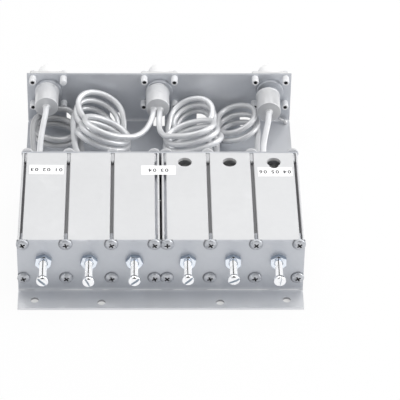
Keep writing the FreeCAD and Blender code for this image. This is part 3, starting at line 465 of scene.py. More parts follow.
def label_ink():
    f = Finish("label_ink")
    fade = f.noise(900.0).between(0.42, 0.62)
    colour = f.blend(fade, (0.02, 0.02, 0.025), (0.06, 0.06, 0.07))
    return f.set(Base_Color=colour, Roughness=0.6 + fade * 0.1)


# Modelling by hand

def clear_selection():
    bpy.ops.object.select_all(action="DESELECT")


def work_on(piece):
    clear_selection()
    piece.select_set(True)
    bpy.context.view_layer.objects.active = piece


def edit():
    """Go into edit mode with everything selected."""
    bpy.ops.object.mode_set(mode="EDIT")
    bpy.ops.mesh.select_all(action="SELECT")


def leave_edit():
    bpy.ops.object.mode_set(mode="OBJECT")


def take(name):
    """Name what a primitive has just made, with its place in its mesh."""
    piece = bpy.context.active_object
    piece.name = name
    piece.data.name = name
    bpy.ops.object.transform_apply(location=True, rotation=True, scale=True)
    return piece


def box(name, size, middle):
    """A block of a size, round a middle point, in millimetres."""
    clear_selection()
    bpy.ops.mesh.primitive_cube_add(size=1, location=(0, 0, 0))
    piece = take(name)
    piece.data.transform(at(*middle) @ Matrix.Diagonal((*(MM * length for length in size), 1)))
    return piece


def pick(piece, kind, test):
    """Select the vertices, edges or faces of the mesh in edit mode that pass a test of their middle."""
    bpy.ops.mesh.select_all(action="DESELECT")
    bpy.ops.object.mode_set(mode="OBJECT")
    mesh = piece.data
    for vertex in mesh.vertices:
        vertex.select = kind == "VERT" and test(vertex.co)
    if kind == "EDGE":
        for edge in mesh.edges:
            ends = [mesh.vertices[i].co for i in edge.vertices]
            edge.select = test((ends[0] + ends[1]) / 2)
    if kind == "FACE":
        for face in mesh.polygons:
            face.select = test(face.center)
    bpy.ops.object.mode_set(mode="EDIT")
    bpy.ops.mesh.select_mode(type=kind)


def turned(name, rings, segments=32):
    """A shape turned about Z: each ring, a radius and a height, is extruded from the one before."""
    clear_selection()
    radius, height = rings[0]
    bpy.ops.mesh.primitive_circle_add(vertices=segments, radius=radius * MM, location=(0, 0, height * MM),
                                      fill_type="NGON")
    piece = take(name)
    edit()
    for next_radius, next_height in rings[1:]:
        rise = (0, 0, (next_height - height) * MM)
        bpy.ops.mesh.extrude_region_move(TRANSFORM_OT_translate={"value": rise})
        share = next_radius / radius
        bpy.ops.transform.resize(value=(share, share, 1), center_override=(0, 0, next_height * MM))
        radius, height = next_radius, next_height
    bpy.ops.mesh.select_all(action="SELECT")
    bpy.ops.mesh.normals_make_consistent(inside=False)
    leave_edit()
    return piece


def cut(piece, tool, operation="DIFFERENCE"):
    """Cut one piece with another and throw the tool away."""
    work_on(piece)
    change = piece.modifiers.new("cut", "BOOLEAN")
    change.operation = operation
    change.object = tool
    change.solver = "EXACT"
    change.material_mode = "TRANSFER"
    bpy.ops.object.modifier_apply(modifier="cut")
    bpy.data.objects.remove(tool)


def ease_edges(piece, radius, angle):
    """Break the edges sharper than an angle, by a radius in millimetres."""
    work_on(piece)
    change = piece.modifiers.new("ease", "BEVEL")
    change.width = radius * MM
    change.segments = 2
    change.limit_method = "ANGLE"
    change.angle_limit = math.radians(angle)
    bpy.ops.object.modifier_apply(modifier="ease")


def smooth(piece, angle):
    work_on(piece)
    bpy.ops.object.shade_smooth_by_angle(angle=math.radians(angle))


def join(name, pieces):
    clear_selection()
    for piece in pieces:
        piece.select_set(True)
    bpy.context.view_layer.objects.active = pieces[0]
    bpy.ops.object.join()
    whole = bpy.context.active_object
    whole.name = name
    whole.data.name = name
    return whole


def copy_to(piece, matrix):
    """A copy with its own mesh, moved."""
    copied = piece.copy()
    copied.data = piece.data.copy()
    bpy.context.scene.collection.objects.link(copied)
    copied.data.transform(matrix)
    return copied


def discard(*pieces):
    for piece in pieces:
        bpy.data.objects.remove(piece)


def coat(piece, *materials):
    piece.data.materials.clear()
    for material in materials:
        piece.data.materials.append(material)


def thread(name, root, depth, pitch, low, high, steps):
    """A screw thread about Z: a tooth, three corners of a diamond, swept up by the Screw modifier.

    The lengths are in millimetres, and steps is how many make one turn.
    """
    clear_selection()
    bpy.ops.mesh.primitive_circle_add(vertices=4, radius=1.0, rotation=(math.pi / 2, 0, 0))
    piece = take(name)
    edit()
    pick(piece, "VERT", lambda v: v.x < -0.5)
    bpy.ops.mesh.delete(type="VERT")
    bpy.ops.mesh.select_all(action="SELECT")
    bpy.ops.transform.resize(value=(depth * MM, 1, pitch / 2 * MM), center_override=(0, 0, 0))
    bpy.ops.transform.translate(value=(root * MM, 0, (low + pitch / 2) * MM))
    leave_edit()
    sweep = piece.modifiers.new("sweep", "SCREW")
    sweep.axis = "Z"
    sweep.screw_offset = pitch * MM
    sweep.iterations = max(1, round((high - low) / pitch) - 1)
    sweep.steps = steps
    sweep.render_steps = steps
    sweep.use_merge_vertices = True
    sweep.merge_threshold = 1e-6
    bpy.ops.object.modifier_apply(modifier="sweep")
    face = piece.data.polygons[len(piece.data.polygons) // 2]
    if face.normal.dot(Vector((face.center.x, face.center.y, 0))) < 0:
        edit()
        bpy.ops.mesh.flip_normals()
        leave_edit()
    return piece


def spun(degrees, axis="Z"):
    return Matrix.Rotation(math.radians(degrees), 4, axis)


def facing(way, spin=0.0):
    """Turns a piece modelled along Z to point along -Y, out of the front, or +Y, out of the back."""
    return spun(90 if way == "front" else -90, "X") @ spun(spin)


# Screws of the end plates

PAN_RADIUS = 4.05
PAN_HEIGHT = 2.4
PAN_DOME = [(0.96, 0.0), (1.0, 0.05), (1.0, 0.42), (0.985, 0.50), (0.93, 0.65), (0.82, 0.79), (0.66, 0.90),
            (0.46, 0.97), (0.24, 1.0)]
RECESS_ARM = (4.7, 1.15, 2.4)
SHANK_LONG = 9.1
SHANK_ROOT = 1.32
SHANK_PITCH = 0.7
FRONT_TURNS = [28, 20, 12, 37, 30, 18, 34, 24, 5, 40, 33, 22, 44, 15, 36, 30]
REAR_TURNS = [10, 35, 22, 41, 8, 27, 16, 38, 30, 12, 43, 19, 33, 6, 25, 40]


def pan_screw():
    """One pan head screw with a cross recess, its seat at Z 0."""
    head = turned("pan_head", [(PAN_RADIUS * r, PAN_HEIGHT * z) for r, z in PAN_DOME], segments=40)
    coat(head, FINISH["dull_zinc"])
    for turn in (0, 90):
        arm = box("recess_arm", RECESS_ARM, (0, 0, PAN_HEIGHT - 0.1))
        edit()
        pick(arm, "FACE", lambda c: c.z < (PAN_HEIGHT - 1.0) * MM)
        bpy.ops.transform.resize(value=(0.6, 0.8, 1), center_override=(0, 0, 0))
        leave_edit()
        arm.data.transform(spun(turn))
        # The cross recess takes painted shade
        coat(arm, FINISH["recess_dirt"])
        cut(head, arm)
    shank = thread("shank_thread", SHANK_ROOT, 0.33, SHANK_PITCH, -SHANK_LONG, -SHANK_PITCH, steps=14)
    core = turned("shank_core", [(0.5, -SHANK_LONG - 0.4), (1.34, -SHANK_LONG + 0.3), (1.34, 0.0)],
                  segments=14)
    coat(shank, FINISH["dull_zinc"])
    coat(core, FINISH["dull_zinc"])
    smooth(head, 32)
    smooth(shank, 20)
    smooth(core, 40)
    return join("pan_screw", [head, shank, core])


def make_plate_screws():
    screw = pan_screw()
    for node, way, y, turns in (("front_plate_screws", "front", PLATE_FACE, FRONT_TURNS),
                                ("rear_plate_screws", "rear", REAR_PLATE, REAR_TURNS)):
        places = [(x, y, z) for x in SCREW_COLUMNS for z in SCREW_ROWS]
        copies = [copy_to(screw, at(*place) @ facing(way, turn)) for place, turn in zip(places, turns)]
        row = join(way + "_pan_screws", copies)
        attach(row, "case")
        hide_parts(node)
        if way == "rear":
            row.material_slots[0].material = FINISH["lead_paint"]
    discard(screw)


# Tuning screws and lock nuts

TUNING_REACH = [21.9, 22.5, 21.7, 20.8, 20.6, 21.8]
TUNING_SLOT = [-45, -64, 40, 43, 25, 82]
NUT_TURN = [-8, -18, 23, -8, 0, 1]
ROD_LONG = 44.5
ROD_ROOT = 2.03
HEAD_TALL = 3.3
HEAD_RIM = [(3.55, -HEAD_TALL), (3.95, 0.25 - HEAD_TALL), (3.95, -1.60), (3.88, -1.25), (3.70, -0.92),
            (3.42, -0.64), (3.05, -0.38), (2.55, -0.17), (1.9, -0.05), (1.0, 0.0)]
SLOT_CUTTER = (9.5, 1.5, 2.5)
SLOT_DEEP = 1.5
NUT_FLATS = 10.0
NUT_THICK = 3.2
NUT_BORE = 2.45


def tuning_screw():
    """A slotted cheese head screw, its head's face at Z 0 and its rod below."""
    seat = -HEAD_TALL
    tip = seat - ROD_LONG
    head = turned("cheese_head", HEAD_RIM, segments=48)
    blade = box("slot_cutter", SLOT_CUTTER, (0, 0, SLOT_CUTTER[2] / 2 - SLOT_DEEP))
    coat(blade, FINISH["slot_shade"])
    coat(head, FINISH["bright_zinc"])
    cut(head, blade)
    for face in head.data.polygons:
        if face.normal.z > 0.7:
            face.material_index = 0
    ease_edges(head, 0.10, 50)
    rod = thread("rod_thread", 2.02, 0.38, 0.8, tip + 0.9, seat, steps=24)
    core = turned("rod_core", [(1.5, tip), (ROD_ROOT, tip + 0.9), (ROD_ROOT, seat - 0.9), (2.3, seat - 0.6),
                               (2.38, seat)], segments=24)
    for part in (rod, core):
        coat(part, FINISH["bright_zinc"])
    smooth(head, 32)
    smooth(rod, 20)
    smooth(core, 30)
    return join("tuning_screw", [head, rod, core])


def lock_nut():
    """A hexagon nut with both faces chamfered and a lead into its bore, its back at Z 0."""
    corner = NUT_FLATS / math.sqrt(3)
    wide = corner * 1.02
    nut = turned("nut_blank", [(corner, 0.0), (corner, NUT_THICK)], segments=6)
    envelope = turned("nut_envelope", [(NUT_FLATS * 0.49, -0.01), (wide, 0.55), (wide, NUT_THICK - 0.55),
                                       (NUT_FLATS * 0.485, NUT_THICK)], segments=64)
    cut(nut, envelope, "INTERSECT")
    bore = turned("nut_bore", [(3.1, -0.1), (NUT_BORE, 0.55), (NUT_BORE, NUT_THICK - 0.55),
                               (3.1, NUT_THICK + 0.1)])
    cut(nut, bore)
    ease_edges(nut, 0.12, 30)
    coat(nut, FINISH["nut_zinc"], FINISH["nut_flats"])
    # The side faces of the flats take the painted dark reflection
    for face in nut.data.polygons:
        outside = Vector((face.center.x, face.center.y)).length > NUT_FLATS * 0.45 * MM
        if outside and abs(face.normal.z) < 0.2:
            face.material_index = 1
    smooth(nut, 25)
    return nut


def make_tuning():
    screw = tuning_screw()
    nut = lock_nut()
    for i, x in enumerate(CELLS):
        place = at(x, PLATE_FACE - TUNING_REACH[i], CELL_HEIGHT)
        piece = copy_to(screw, place @ facing("front", TUNING_SLOT[i]))
        piece.name = f"tuning_rod_{i + 1}"
        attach(piece, f"screw_{i + 1}")
        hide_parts(f"tuning_screw_{i + 1}")
        piece = copy_to(nut, at(x, PLATE_FACE, CELL_HEIGHT) @ facing("front", NUT_TURN[i]))
        piece.name = f"hexagon_nut_{i + 1}"
        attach(piece, f"nut_{i + 1}")
        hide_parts(f"lock_nut_{i + 1}")
    discard(screw, nut)


# Jacks, hoods and rivets

FLANGE_WIDE = 26.0
FLANGE_THICK = 3.9
BARREL_TOP = 20.5
BARREL_RADIUS = 7.3
MOUTH_RADIUS = 5.2
HOOD_OFF = {"left": 2.4, "middle": 3.5, "right": 7.9}
HOOD_ASIDE = {"left": 0.8, "middle": 1.2, "right": 1.6}
HOOD_LONG = 17.5
HOOD_RADIUS = 8.1
HOOD_BORE = 7.3
HOOD_LEADS = {"left": [(0.0, 0.0)], "middle": [(-2.75, -1.4), (1.35, -1.4)], "right": [(0.0, 0.0)]}
HOLE_RADIUS = 2.1
BEAD_CIRCLE = 7.8
BEAD_RADIUS = 0.75


def hood_shell(label):
    """A drawn cap: round edge at the closed face, open at the panel end, with solder round each lead."""
    long = HOOD_LONG
    wide = HOOD_RADIUS
    shell = turned("hood_" + label, [(wide - 0.4, 0.0), (wide, 0.25), (wide, long - 0.45),
                                     (wide - 0.07, long - 0.22), (wide - 0.22, long - 0.07),
                                     (wide - 0.45, long)], segments=72)
    cut(shell, turned("hood_hollow", [(HOOD_BORE, -1.0), (HOOD_BORE, long - 1.4)], segments=64))
    parts = [shell]
    for across, up in HOOD_LEADS[label]:
        hole = turned("lead_hole", [(HOLE_RADIUS, long - 3.0), (HOLE_RADIUS, long + 1.0)], segments=24)
        hole.data.transform(at(across, up, 0))
        cut(shell, hole)
        fillet = turned("lead_solder", [(1.9, long - 0.4), (3.0, long - 0.05), (2.45, long + 0.25),
                                        (2.15, long + 0.8), (1.95, long + 1.0)], segments=20)
        fillet.data.transform(at(across, up, 0))
        parts.append(fillet)
    # The right hood takes darker copies of the hood paint, as painted shade, and on each hood the closed face
    # takes a darker copy still, as painted shade
    side = "right_" if label == "right" else ""
    for part in parts:
        coat(part, FINISH[side + "hood_paint"], FINISH[side + "hood_face"])
        smooth(part, 38)
    for face in shell.data.polygons:
        if face.normal.z > 0.95 and face.center.z > (long - 0.1) * MM:
            face.material_index = 1
    return join("solder_hood_" + label, parts)


def solder_bead(label, x):
    """The uneven solder and paint between a hood's rim and the jack's boss."""
    clear_selection()
    bpy.ops.mesh.primitive_torus_add(major_radius=BEAD_CIRCLE * MM, minor_radius=BEAD_RADIUS * MM,
                                     major_segments=56, minor_segments=10)
    bead = take("bead_" + label)
    luck = random.Random(label)
    phases = [(luck.uniform(0, 6.3), luck.uniform(0.1, 0.34)) for _ in range(5)]
    for vertex in bead.data.vertices:
        angle = math.atan2(vertex.co.y, vertex.co.x)
        swell = sum(size * math.sin((k + 2) * angle + phase) for k, (phase, size) in enumerate(phases))
        flat = Vector((vertex.co.x, vertex.co.y, 0))
        middle = flat.normalized() * (BEAD_CIRCLE * MM)
        vertex.co = middle + (vertex.co - middle) * (0.9 + 0.35 * swell)
    coat(bead, FINISH["hood_paint"])
    smooth(bead, 60)
    bead.data.transform(at(x, PANEL_INSIDE - HOOD_OFF[label] - 0.1, JACK_HEIGHT) @ facing("front"))
    return bead


def jack_shell(label, x):
    """The jack's metal body about Z: square flange, threaded barrel outward, boss and spigot inward."""
    flange = box("flange_" + label, (FLANGE_WIDE, FLANGE_WIDE, FLANGE_THICK), (0, 0, FLANGE_THICK / 2))
    edit()
    pick(flange, "EDGE", lambda c: min(abs(c.x), abs(c.y)) > 12 * MM)
    bpy.ops.mesh.bevel(offset=1.5 * MM, segments=5, affect="EDGES")
    leave_edit()
    ease_edges(flange, 0.22, 60)
    top = BARREL_TOP
    barrel = turned("barrel_" + label, [(BARREL_RADIUS, 2.8), (BARREL_RADIUS, 5.4), (7.36, 5.6),
                                        (7.36, top - 1.0), (BARREL_RADIUS, top - 0.2), (7.1, top)],
                    segments=48)
    mouth = turned("mouth_cutter", [(4.1, top - 16.0), (4.1, top - 9.0), (MOUTH_RADIUS, top - 8.98),
                                    (MOUTH_RADIUS, top - 0.4), (5.6, top + 0.1)], segments=48)
    cut(barrel, mouth)
    for turn in (45, 135, 225, 315):
        key = box("notch_cutter", (3.4, 1.5, 1.5), (6.6, 0, top))
        key.data.transform(spun(turn))
        cut(barrel, key)
    crest = thread("barrel_thread_" + label, 7.34, 0.58, 1.06, 5.5, top - 0.8, steps=40)
    boss = turned("boss_" + label, [(5.4, -12.6), (5.4, -4.0), (9.1, -3.98), (9.4, -3.7), (9.4, 0.2)],
                  segments=48)
    coat(flange, FINISH["flange_nickel"])
    coat(barrel, FINISH["jack_nickel"])
    coat(crest, FINISH["jack_nickel"])
    coat(boss, FINISH["tray_paint"])
    for part in (flange, barrel, boss):
        smooth(part, 35)
    smooth(crest, 20)
    body = join("jack_shell_" + label, [flange, barrel, crest, boss])
    body.data.transform(at(x, PANEL_OUTSIDE, JACK_HEIGHT) @ facing("rear"))
    return body


RIVET_OUTSIDE = [(1.0, -6.2), (1.7, -6.1), (2.15, -5.85), (2.2, -5.52), (2.0, -5.5), (2.0, -0.1),
                 (2.40, 0.0), (2.46, 0.8), (2.36, 2.2), (2.38, 4.0), (2.42, 4.9), (2.36, 5.5), (2.16, 5.95),
                 (1.85, 6.1)]
RIVET_HOLLOW = [(1.46, 6.02), (1.30, 5.6), (1.22, 3.6), (0.4, 3.4)]
RIVET_SHUT = [(1.3, 6.3), (0.6, 6.4)]


def rivet(end):
    """A blind rivet, its tail's root at Z 0 and its end up, hollow where the stem broke away or shut."""
    piece = turned("blind_rivet", RIVET_OUTSIDE + end, segments=28)
    # The rivet's paint, and painted shade deep in its hollow
    coat(piece, FINISH["rivet_paint"], FINISH["recess_dirt"])
    for face in piece.data.polygons:
        flat = Vector((face.center.x, face.center.y)).length
        if flat < 1.27 * MM and 3.0 * MM < face.center.z < 5.2 * MM:
            face.material_index = 1
    smooth(piece, 40)
    return piece


def make_jacks():
    open_rivet = rivet(RIVET_HOLLOW)
    shut_rivet = rivet(RIVET_SHUT)
    rivets = []
    for label, x in JACKS.items():
        body = jack_shell(label, x)
        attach(body, "case")
        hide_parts("jack_body_" + label)
        hood_x = x - HOOD_ASIDE[label]
        hood = hood_shell(label)
        hood.data.transform(at(hood_x, PANEL_INSIDE - HOOD_OFF[label], JACK_HEIGHT) @ facing("front"))
        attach(hood, "case")
        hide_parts("jack_hood_" + label)
        bead = solder_bead(label, hood_x)
        bead.name = "solder_bead_" + label
        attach(bead, "case")
        for across in (-1, 1):
            for up in (-1, 1):
                source = shut_rivet if (label, across, up) == ("left", 1, 1) else open_rivet
                lean = spun(dice.uniform(-2.5, 2.5))
                tip = spun(dice.uniform(-2.0, 2.0), "X")
                place = at(x + across * RIVET_SPREAD, PANEL_INSIDE, JACK_HEIGHT + up * RIVET_SPREAD)
                rivets.append(copy_to(source, place @ lean @ tip @ facing("front", dice.uniform(0, 90))))
    row = join("blind_rivets", rivets)
    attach(row, "case")
    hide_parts("jack_rivets")
    discard(open_rivet, shut_rivet)


# Leads

LEAD_RADIUS = 2.0
TAP_CIRCLE = 8.5
LEAD_INSIDE = -3.0

# Each cavity has two leads. The numbers are the cavity and the direction of each lead from its axis.
ENTRY_TURNS = {
    "c1_upper": (0, 130), "c1_lower": (0, 230),
    "c2_upper": (1, 135), "c2_lower": (1, 225),
    "c3_upper": (2, 50), "c3_lower": (2, 230),
    "c4_upper": (3, 130), "c4_lower": (3, 230),
    "c5_upper": (4, 140), "c5_lower": (4, 220),
    "c6_upper": (5, 135), "c6_lower": (5, 225),
}


def entry(name):
    """The centre of a lead's hole in the rear end plate, across and up."""
    cavity, turn = ENTRY_TURNS[name]
    angle = math.radians(turn)
    return CELLS[cavity] + math.cos(angle) * TAP_CIRCLE, CELL_HEIGHT + math.sin(angle) * TAP_CIRCLE


def at_hole(name, *backs):
    """Points on the axis of a lead's hole, at distances behind the rear end plate."""
    x, z = entry(name)
    return [(x, back, z) for back in backs]


POINTS_A_TURN = 12


def coil_turns(count, start, way, ends):
    """Points round a loose coil of some turns.

    start is the angle of the first point, and way is 1 or -1 for the sense of the winding. ends are
    ellipses that the coil passes through, evenly spread from its first turn to its last: centre across,
    behind the rear end plate and up, radius across and deep, how far the back is raised and how far the
    right side is raised, in degrees.
    """
    steps = round(count * POINTS_A_TURN)
    points = []
    for k in range(steps + 1):
        along = k / steps * (len(ends) - 1)
        before = min(int(along), len(ends) - 2)
        part = along - before
        shape = [a + (b - a) * part for a, b in zip(ends[before], ends[before + 1])]
        x, back, z, across, deep = shape[:5]
        lean, roll = (math.radians(turn) for turn in shape[5:])
        angle = math.radians(start) + way * math.radians(360.0 * count * k / steps)
        aside = math.cos(angle) * across
        behind = math.sin(angle) * deep
        points.append((
            x + aside * math.cos(roll),
            back + behind * math.cos(lean),
            z + aside * math.sin(roll) + behind * math.sin(lean),
        ))
    return points


# The corners of each lead's centre line: across, behind the rear end plate and up
LEAD_ROUTES = {
    "left_port_cable": [
        (-78.1, 71.0, 27.9), (-78.3, 62.0, 27.7), (-79.4, 50.0, 28.5),
        (-80.4, 33.0, 31.0),
        *at_hole("c1_upper", 15, LEAD_INSIDE),
    ],
    "coupling_cable_1_2": [
        *at_hole("c1_lower", LEAD_INSIDE, 5),
        (-83.0, 16.0, 18.9), (-85.8, 31.0, 18.8), (-87.0, 46.0, 18.9),
        (-87.4, 57.5, 19.3), (-86.4, 66.5, 19.0), (-82.8, 73.8, 18.0),
        (-76.4, 78.2, 17.3), (-69.2, 79.2, 18.9), (-62.8, 79.3, 17.9),
        (-58.2, 75.8, 14.2), (-56.2, 68.6, 13.2), (-57.0, 60.6, 12.7),
        (-61.4, 53.6, 12.6), (-69.2, 50.2, 13.1), (-78.0, 52.0, 13.8),
        (-84.4, 57.4, 14.0),
        *coil_turns(1.5, 180, -1, [
            (-71.4, 64.3, 12.2, 15.3, 13.9, 4, -6),
            (-71.0, 64.0, 5.3, 15.9, 13.9, 1, -5),
        ]),
        (-53.6, 50.0, 4.6), (-53.6, 36.0, 9.0), (-53.2, 20.0, 16.5),
        *at_hole("c2_lower", 6, LEAD_INSIDE),
    ],
    "coupling_cable_2_3": [
        *at_hole("c2_upper", LEAD_INSIDE, 5),
        (-55.6, 16.0, 28.5), (-57.8, 32.0, 22.8), (-59.2, 50.0, 20.5),
        *coil_turns(2.5, 180, -1, [
            (-46.7, 67.0, 12.7, 14.6, 16.5, 3, -25),
            (-43.2, 70.2, 18.8, 15.9, 13.0, 19, -25),
            (-40.4, 72.3, 24.9, 16.9, 13.1, 26, -24),
        ]),
        (-24.4, 66.5, 12.4), (-25.1, 58.5, 6.4), (-26.6, 48.0, 4.3),
        (-26.2, 36.0, 4.6), (-24.6, 23.0, 9.0), (-23.2, 12.0, 17.0),
        *at_hole("c3_lower", 4, LEAD_INSIDE),
    ],
    "middle_port_cable_left": [
        (-3.95, 69.9, 26.5), (-3.95, 65.0, 26.5), (-5.9, 56.5, 24.2),
        (-10.4, 47.5, 22.8), (-17.0, 40.5, 23.6),
        *coil_turns(2.875, -45, -1, [
            (-35.5, 47.1, 28.7, 16.9, 14.2, -14, -25),
            (-37.5, 45.4, 22.5, 18.4, 13.0, -8, -25),
            (-39.4, 43.2, 16.0, 19.8, 10.8, -5, -23),
        ]),
        (-20.6, 33.0, 11.0), (-18.0, 21.0, 19.0), (-13.0, 10.0, 30.5),
        *at_hole("c3_upper", 4, LEAD_INSIDE),
    ],
    "middle_port_cable_right": [
        (0.15, 69.9, 26.5), (0.15, 65.0, 26.5), (-0.4, 55.5, 24.2),
        (0.2, 47.0, 23.4), (3.8, 39.6, 24.6),
        *coil_turns(2.875, -135, 1, [
            (20.9, 45.6, 28.7, 16.6, 12.8, -13, 17),
            (21.6, 43.1, 21.8, 19.6, 12.5, -7, 18),
            (24.5, 40.6, 15.4, 20.4, 12.4, -8, 16),
        ]),
        (5.2, 31.0, 12.4), (8.2, 20.0, 20.0), (10.8, 10.0, 30.5),
        *at_hole("c4_upper", 4, LEAD_INSIDE),
    ],
    "coupling_cable_4_5": [
        *at_hole("c5_upper", LEAD_INSIDE, 5),
        (38.9, 14.0, 25.5), (36.6, 27.0, 17.2), (35.0, 41.0, 10.2),
        (34.8, 55.0, 8.6),
        *coil_turns(2.5, 0, 1, [
            (24.8, 68.5, 10.5, 12.6, 14.8, 9, 17),
            (24.8, 69.2, 16.4, 14.9, 13.2, 17, 15),
            (21.6, 69.5, 22.6, 15.4, 13.8, 15, 22),
        ]),
        (5.8, 62.0, 11.6), (6.2, 52.5, 6.4), (8.0, 40.0, 5.0),
        (10.2, 26.0, 9.0), (11.4, 13.0, 17.5),
        *at_hole("c4_lower", 4, LEAD_INSIDE),
    ],
    "coupling_cable_5_6": [
        *at_hole("c6_lower", LEAD_INSIDE, 5),
        (67.6, 16.0, 18.0), (66.6, 31.0, 13.6), (67.4, 48.0, 10.8),
        *coil_turns(2.5, 0, 1, [
            (55.0, 65.3, 6.8, 14.4, 14.4, -8, 16),
            (54.6, 68.3, 12.2, 14.8, 13.2, -1, 18),
            (53.2, 71.8, 20.2, 13.5, 12.9, -4, 22),
        ]),
        (40.3, 64.5, 14.6), (39.9, 55.0, 13.2), (39.4, 44.0, 11.2),
        (39.6, 32.0, 11.2), (39.8, 18.0, 16.0),
        *at_hole("c5_lower", 5, LEAD_INSIDE),
    ],
    "right_port_cable": [
        (75.7, 65.5, 27.9), (75.4, 57.5, 27.7), (73.8, 46.0, 28.4),
        (71.4, 31.0, 31.0),
        *at_hole("c6_upper", 14, LEAD_INSIDE),
    ],
}

# Lit and shaded copies of the lead paint: the port leads that stand free are paler, as painted light, and two
# low coils darker, as painted shade
LEAD_TONES = {
    "left_port_cable": "pale_lead",
    "right_port_cable": "pale_lead",
    "coupling_cable_1_2": "dark_lead",
    "coupling_cable_5_6": "grey_lead",
}


def make_leads():
    """A smooth tube along each route, with a little unevenness of the paint."""
    for name, route in LEAD_ROUTES.items():
        data = bpy.data.curves.new(name + "_tube", "CURVE")
        data.dimensions = "3D"
        data.bevel_depth = LEAD_RADIUS * MM
        data.bevel_resolution = 5
        data.resolution_u = 10
        data.use_fill_caps = True
        spline = data.splines.new("NURBS")
        spline.points.add(len(route) - 1)
        for point, (x, back, z) in zip(spline.points, route):
            point.co = (x * MM, (REAR_PLATE + back) * MM, z * MM, 1.0)
            point.radius = 1.0 + dice.uniform(-0.012, 0.008)
        spline.order_u = 3
        spline.use_endpoint_u = True
        lead = bpy.data.objects.new(name + "_tube", data)
        bpy.context.scene.collection.objects.link(lead)
        coat(lead, FINISH[LEAD_TONES.get(name, "lead_paint")])
        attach(lead, "case")
        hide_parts(name)


def make_lead_collars():
    """A small solder fillet round every lead where it leaves the rear end plate."""
    collar = turned("collar", [(2.9, -0.05), (2.7, 0.25), (2.2, 0.6), (1.9, 0.8)], segments=20)
    coat(collar, FINISH["lead_paint"])
    smooth(collar, 60)
    copies = []
    for name in ENTRY_TURNS:
        x, z = entry(name)
        copies.append(copy_to(collar, at(x, REAR_PLATE, z) @ facing("rear")))
    row = join("lead_collars", copies)
    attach(row, "case")
    discard(collar)


# Labels

# The words of each label, its place across and before the rear end plate, and its turn in degrees
LABELS = {
    "left": ("01 02 03", -75.1, 19.5, -1.0),
    "middle": ("03 04", -1.3, 20.1, 0.0),
    "right": ("04 05 06", 75.7, 21.8, 0.0),
}
LABEL_FACE = CASE_TOP + 0.165
LETTER_SIZE = 4.6
LETTER_SPACING = 1.3
LETTER_BOLD = 0.10
LETTER_THICK = 0.01


def make_label_numbers():
    """The numbers of the cavities that each port serves, to be read from behind, as plain generic print."""
    for label, (words, x, forward, turn) in LABELS.items():
        clear_selection()
        bpy.ops.object.text_add(location=(0, 0, 0))
        text = bpy.context.active_object
        text.data.body = words
        text.data.align_x = "CENTER"
        text.data.align_y = "CENTER"
        text.data.size = LETTER_SIZE * MM
        text.data.space_character = LETTER_SPACING
        text.data.offset = LETTER_BOLD * MM
        text.data.extrude = LETTER_THICK * MM
        bpy.ops.object.convert(target="MESH")
        print_mesh = take("label_numbers_" + label)
        print_mesh.data.transform(at(x, REAR_PLATE - forward, LABEL_FACE) @ spun(180 + turn))
        coat(print_mesh, FINISH["label_ink"])
        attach(print_mesh, "case")


# The broken rivet stem

STEM_BALL = Vector((88.8, 87.25, 3.3))
STEM_END = Vector((84.0, 87.85, 5.9))


def make_stem():
    """The broken stem of a blind rivet, with its round head, buried in the paint of the corner."""
    along = STEM_END - STEM_BALL
    tall = along.length
    stem = turned("broken_stem", [(0.6, -1.75), (1.3, -1.3), (1.68, -0.5), (1.7, 0.3), (1.4, 1.0),
                                  (1.05, 1.5), (0.95, 2.0), (0.92, tall - 0.3), (0.6, tall)], segments=24)
    smooth(stem, 60)
    # The stem is coated with the shaded copy of the lead paint, as painted shade
    coat(stem, FINISH["grey_lead"])
    stem.data.transform(at(*STEM_BALL) @ along.to_track_quat("Z", "Y").to_matrix().to_4x4())
    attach(stem, "case")
    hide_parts("stuck_rivet_stem")


# Carried-over solids

SOLID_FINISHES = {
    "front_plate": "plate_paint",
    "rear_tray": "tray_paint",
    "cavity_block": "block_paint",
    "coil_former": "turned_plastic",
    "resonator_coil": "silvered_copper",
    "clinch_nuts": "dull_zinc",
    "tap_wires": "silvered_copper",
    "jack_insulator": "turned_plastic",
    "jack_contact": "contact_brass",
    "label": "label_paper",
}


def dress_solids():
    """Give every solid that stays in view, or inside the cavities, its own finish."""
    for name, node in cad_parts.items():
        for start, finish in SOLID_FINISHES.items():
            if name.startswith(start):
                if not node.material_slots:
                    node.data.materials.append(FINISH[finish])
                for slot in node.material_slots:
                    slot.material = FINISH[finish]
                break


# Floor, sky and lamps

# How brightly the floor shines in the open and in the foot's holes, and the sky as a source of light
OPEN_GLOW = 0.93
HOLE_GLOW = 0.40
SKY_LIGHT = 0.80


def make_floor():
    """A matt floor that is also evenly bright to the camera and in reflections, except under the part."""
    clear_selection()
    bpy.ops.mesh.primitive_plane_add(size=14.0, location=(0, 0, -0.3 * MM))
    floor = take("floor")
    f = Finish("floor_white")
    output = next(node for node in f.tree.nodes if node.type == "OUTPUT_MATERIAL")
    matt = f.node("ShaderNodeBsdfDiffuse", None, {"Color": (0.80, 0.80, 0.80)})
    glow = f.node("ShaderNodeEmission", None, {"Color": (1.0, 1.0, 1.0), "Strength": 1.0})
    beside = abs(f.across(0)).between(HALF_WIDTH - 0.7, HALF_WIDTH)
    ahead = 1 - f.across(1).between(FOOT_FRONT + 0.2, FOOT_FRONT + 1.0)
    behind = f.across(1).between(REAR_PLATE + 0.5, REAR_PLATE + 1.5)
    open_floor = (beside + ahead + behind).sum("MINIMUM", 1.0)
    under_foot = (1 - open_floor) * (1 - f.across(1).between(PLATE_FACE - 0.9, PLATE_FACE + 0.6))
    direct = (f.ray("Camera") + f.ray("Glossy") + f.ray("Transmission")).sum("MINIMUM", 1.0)
    share = direct * (open_floor * OPEN_GLOW + under_foot * HOLE_GLOW)
    whole = f.node("ShaderNodeMixShader", None, {0: share, 1: matt, 2: glow})
    f.join(whole, output.inputs["Surface"])
    coat(floor, f.material)


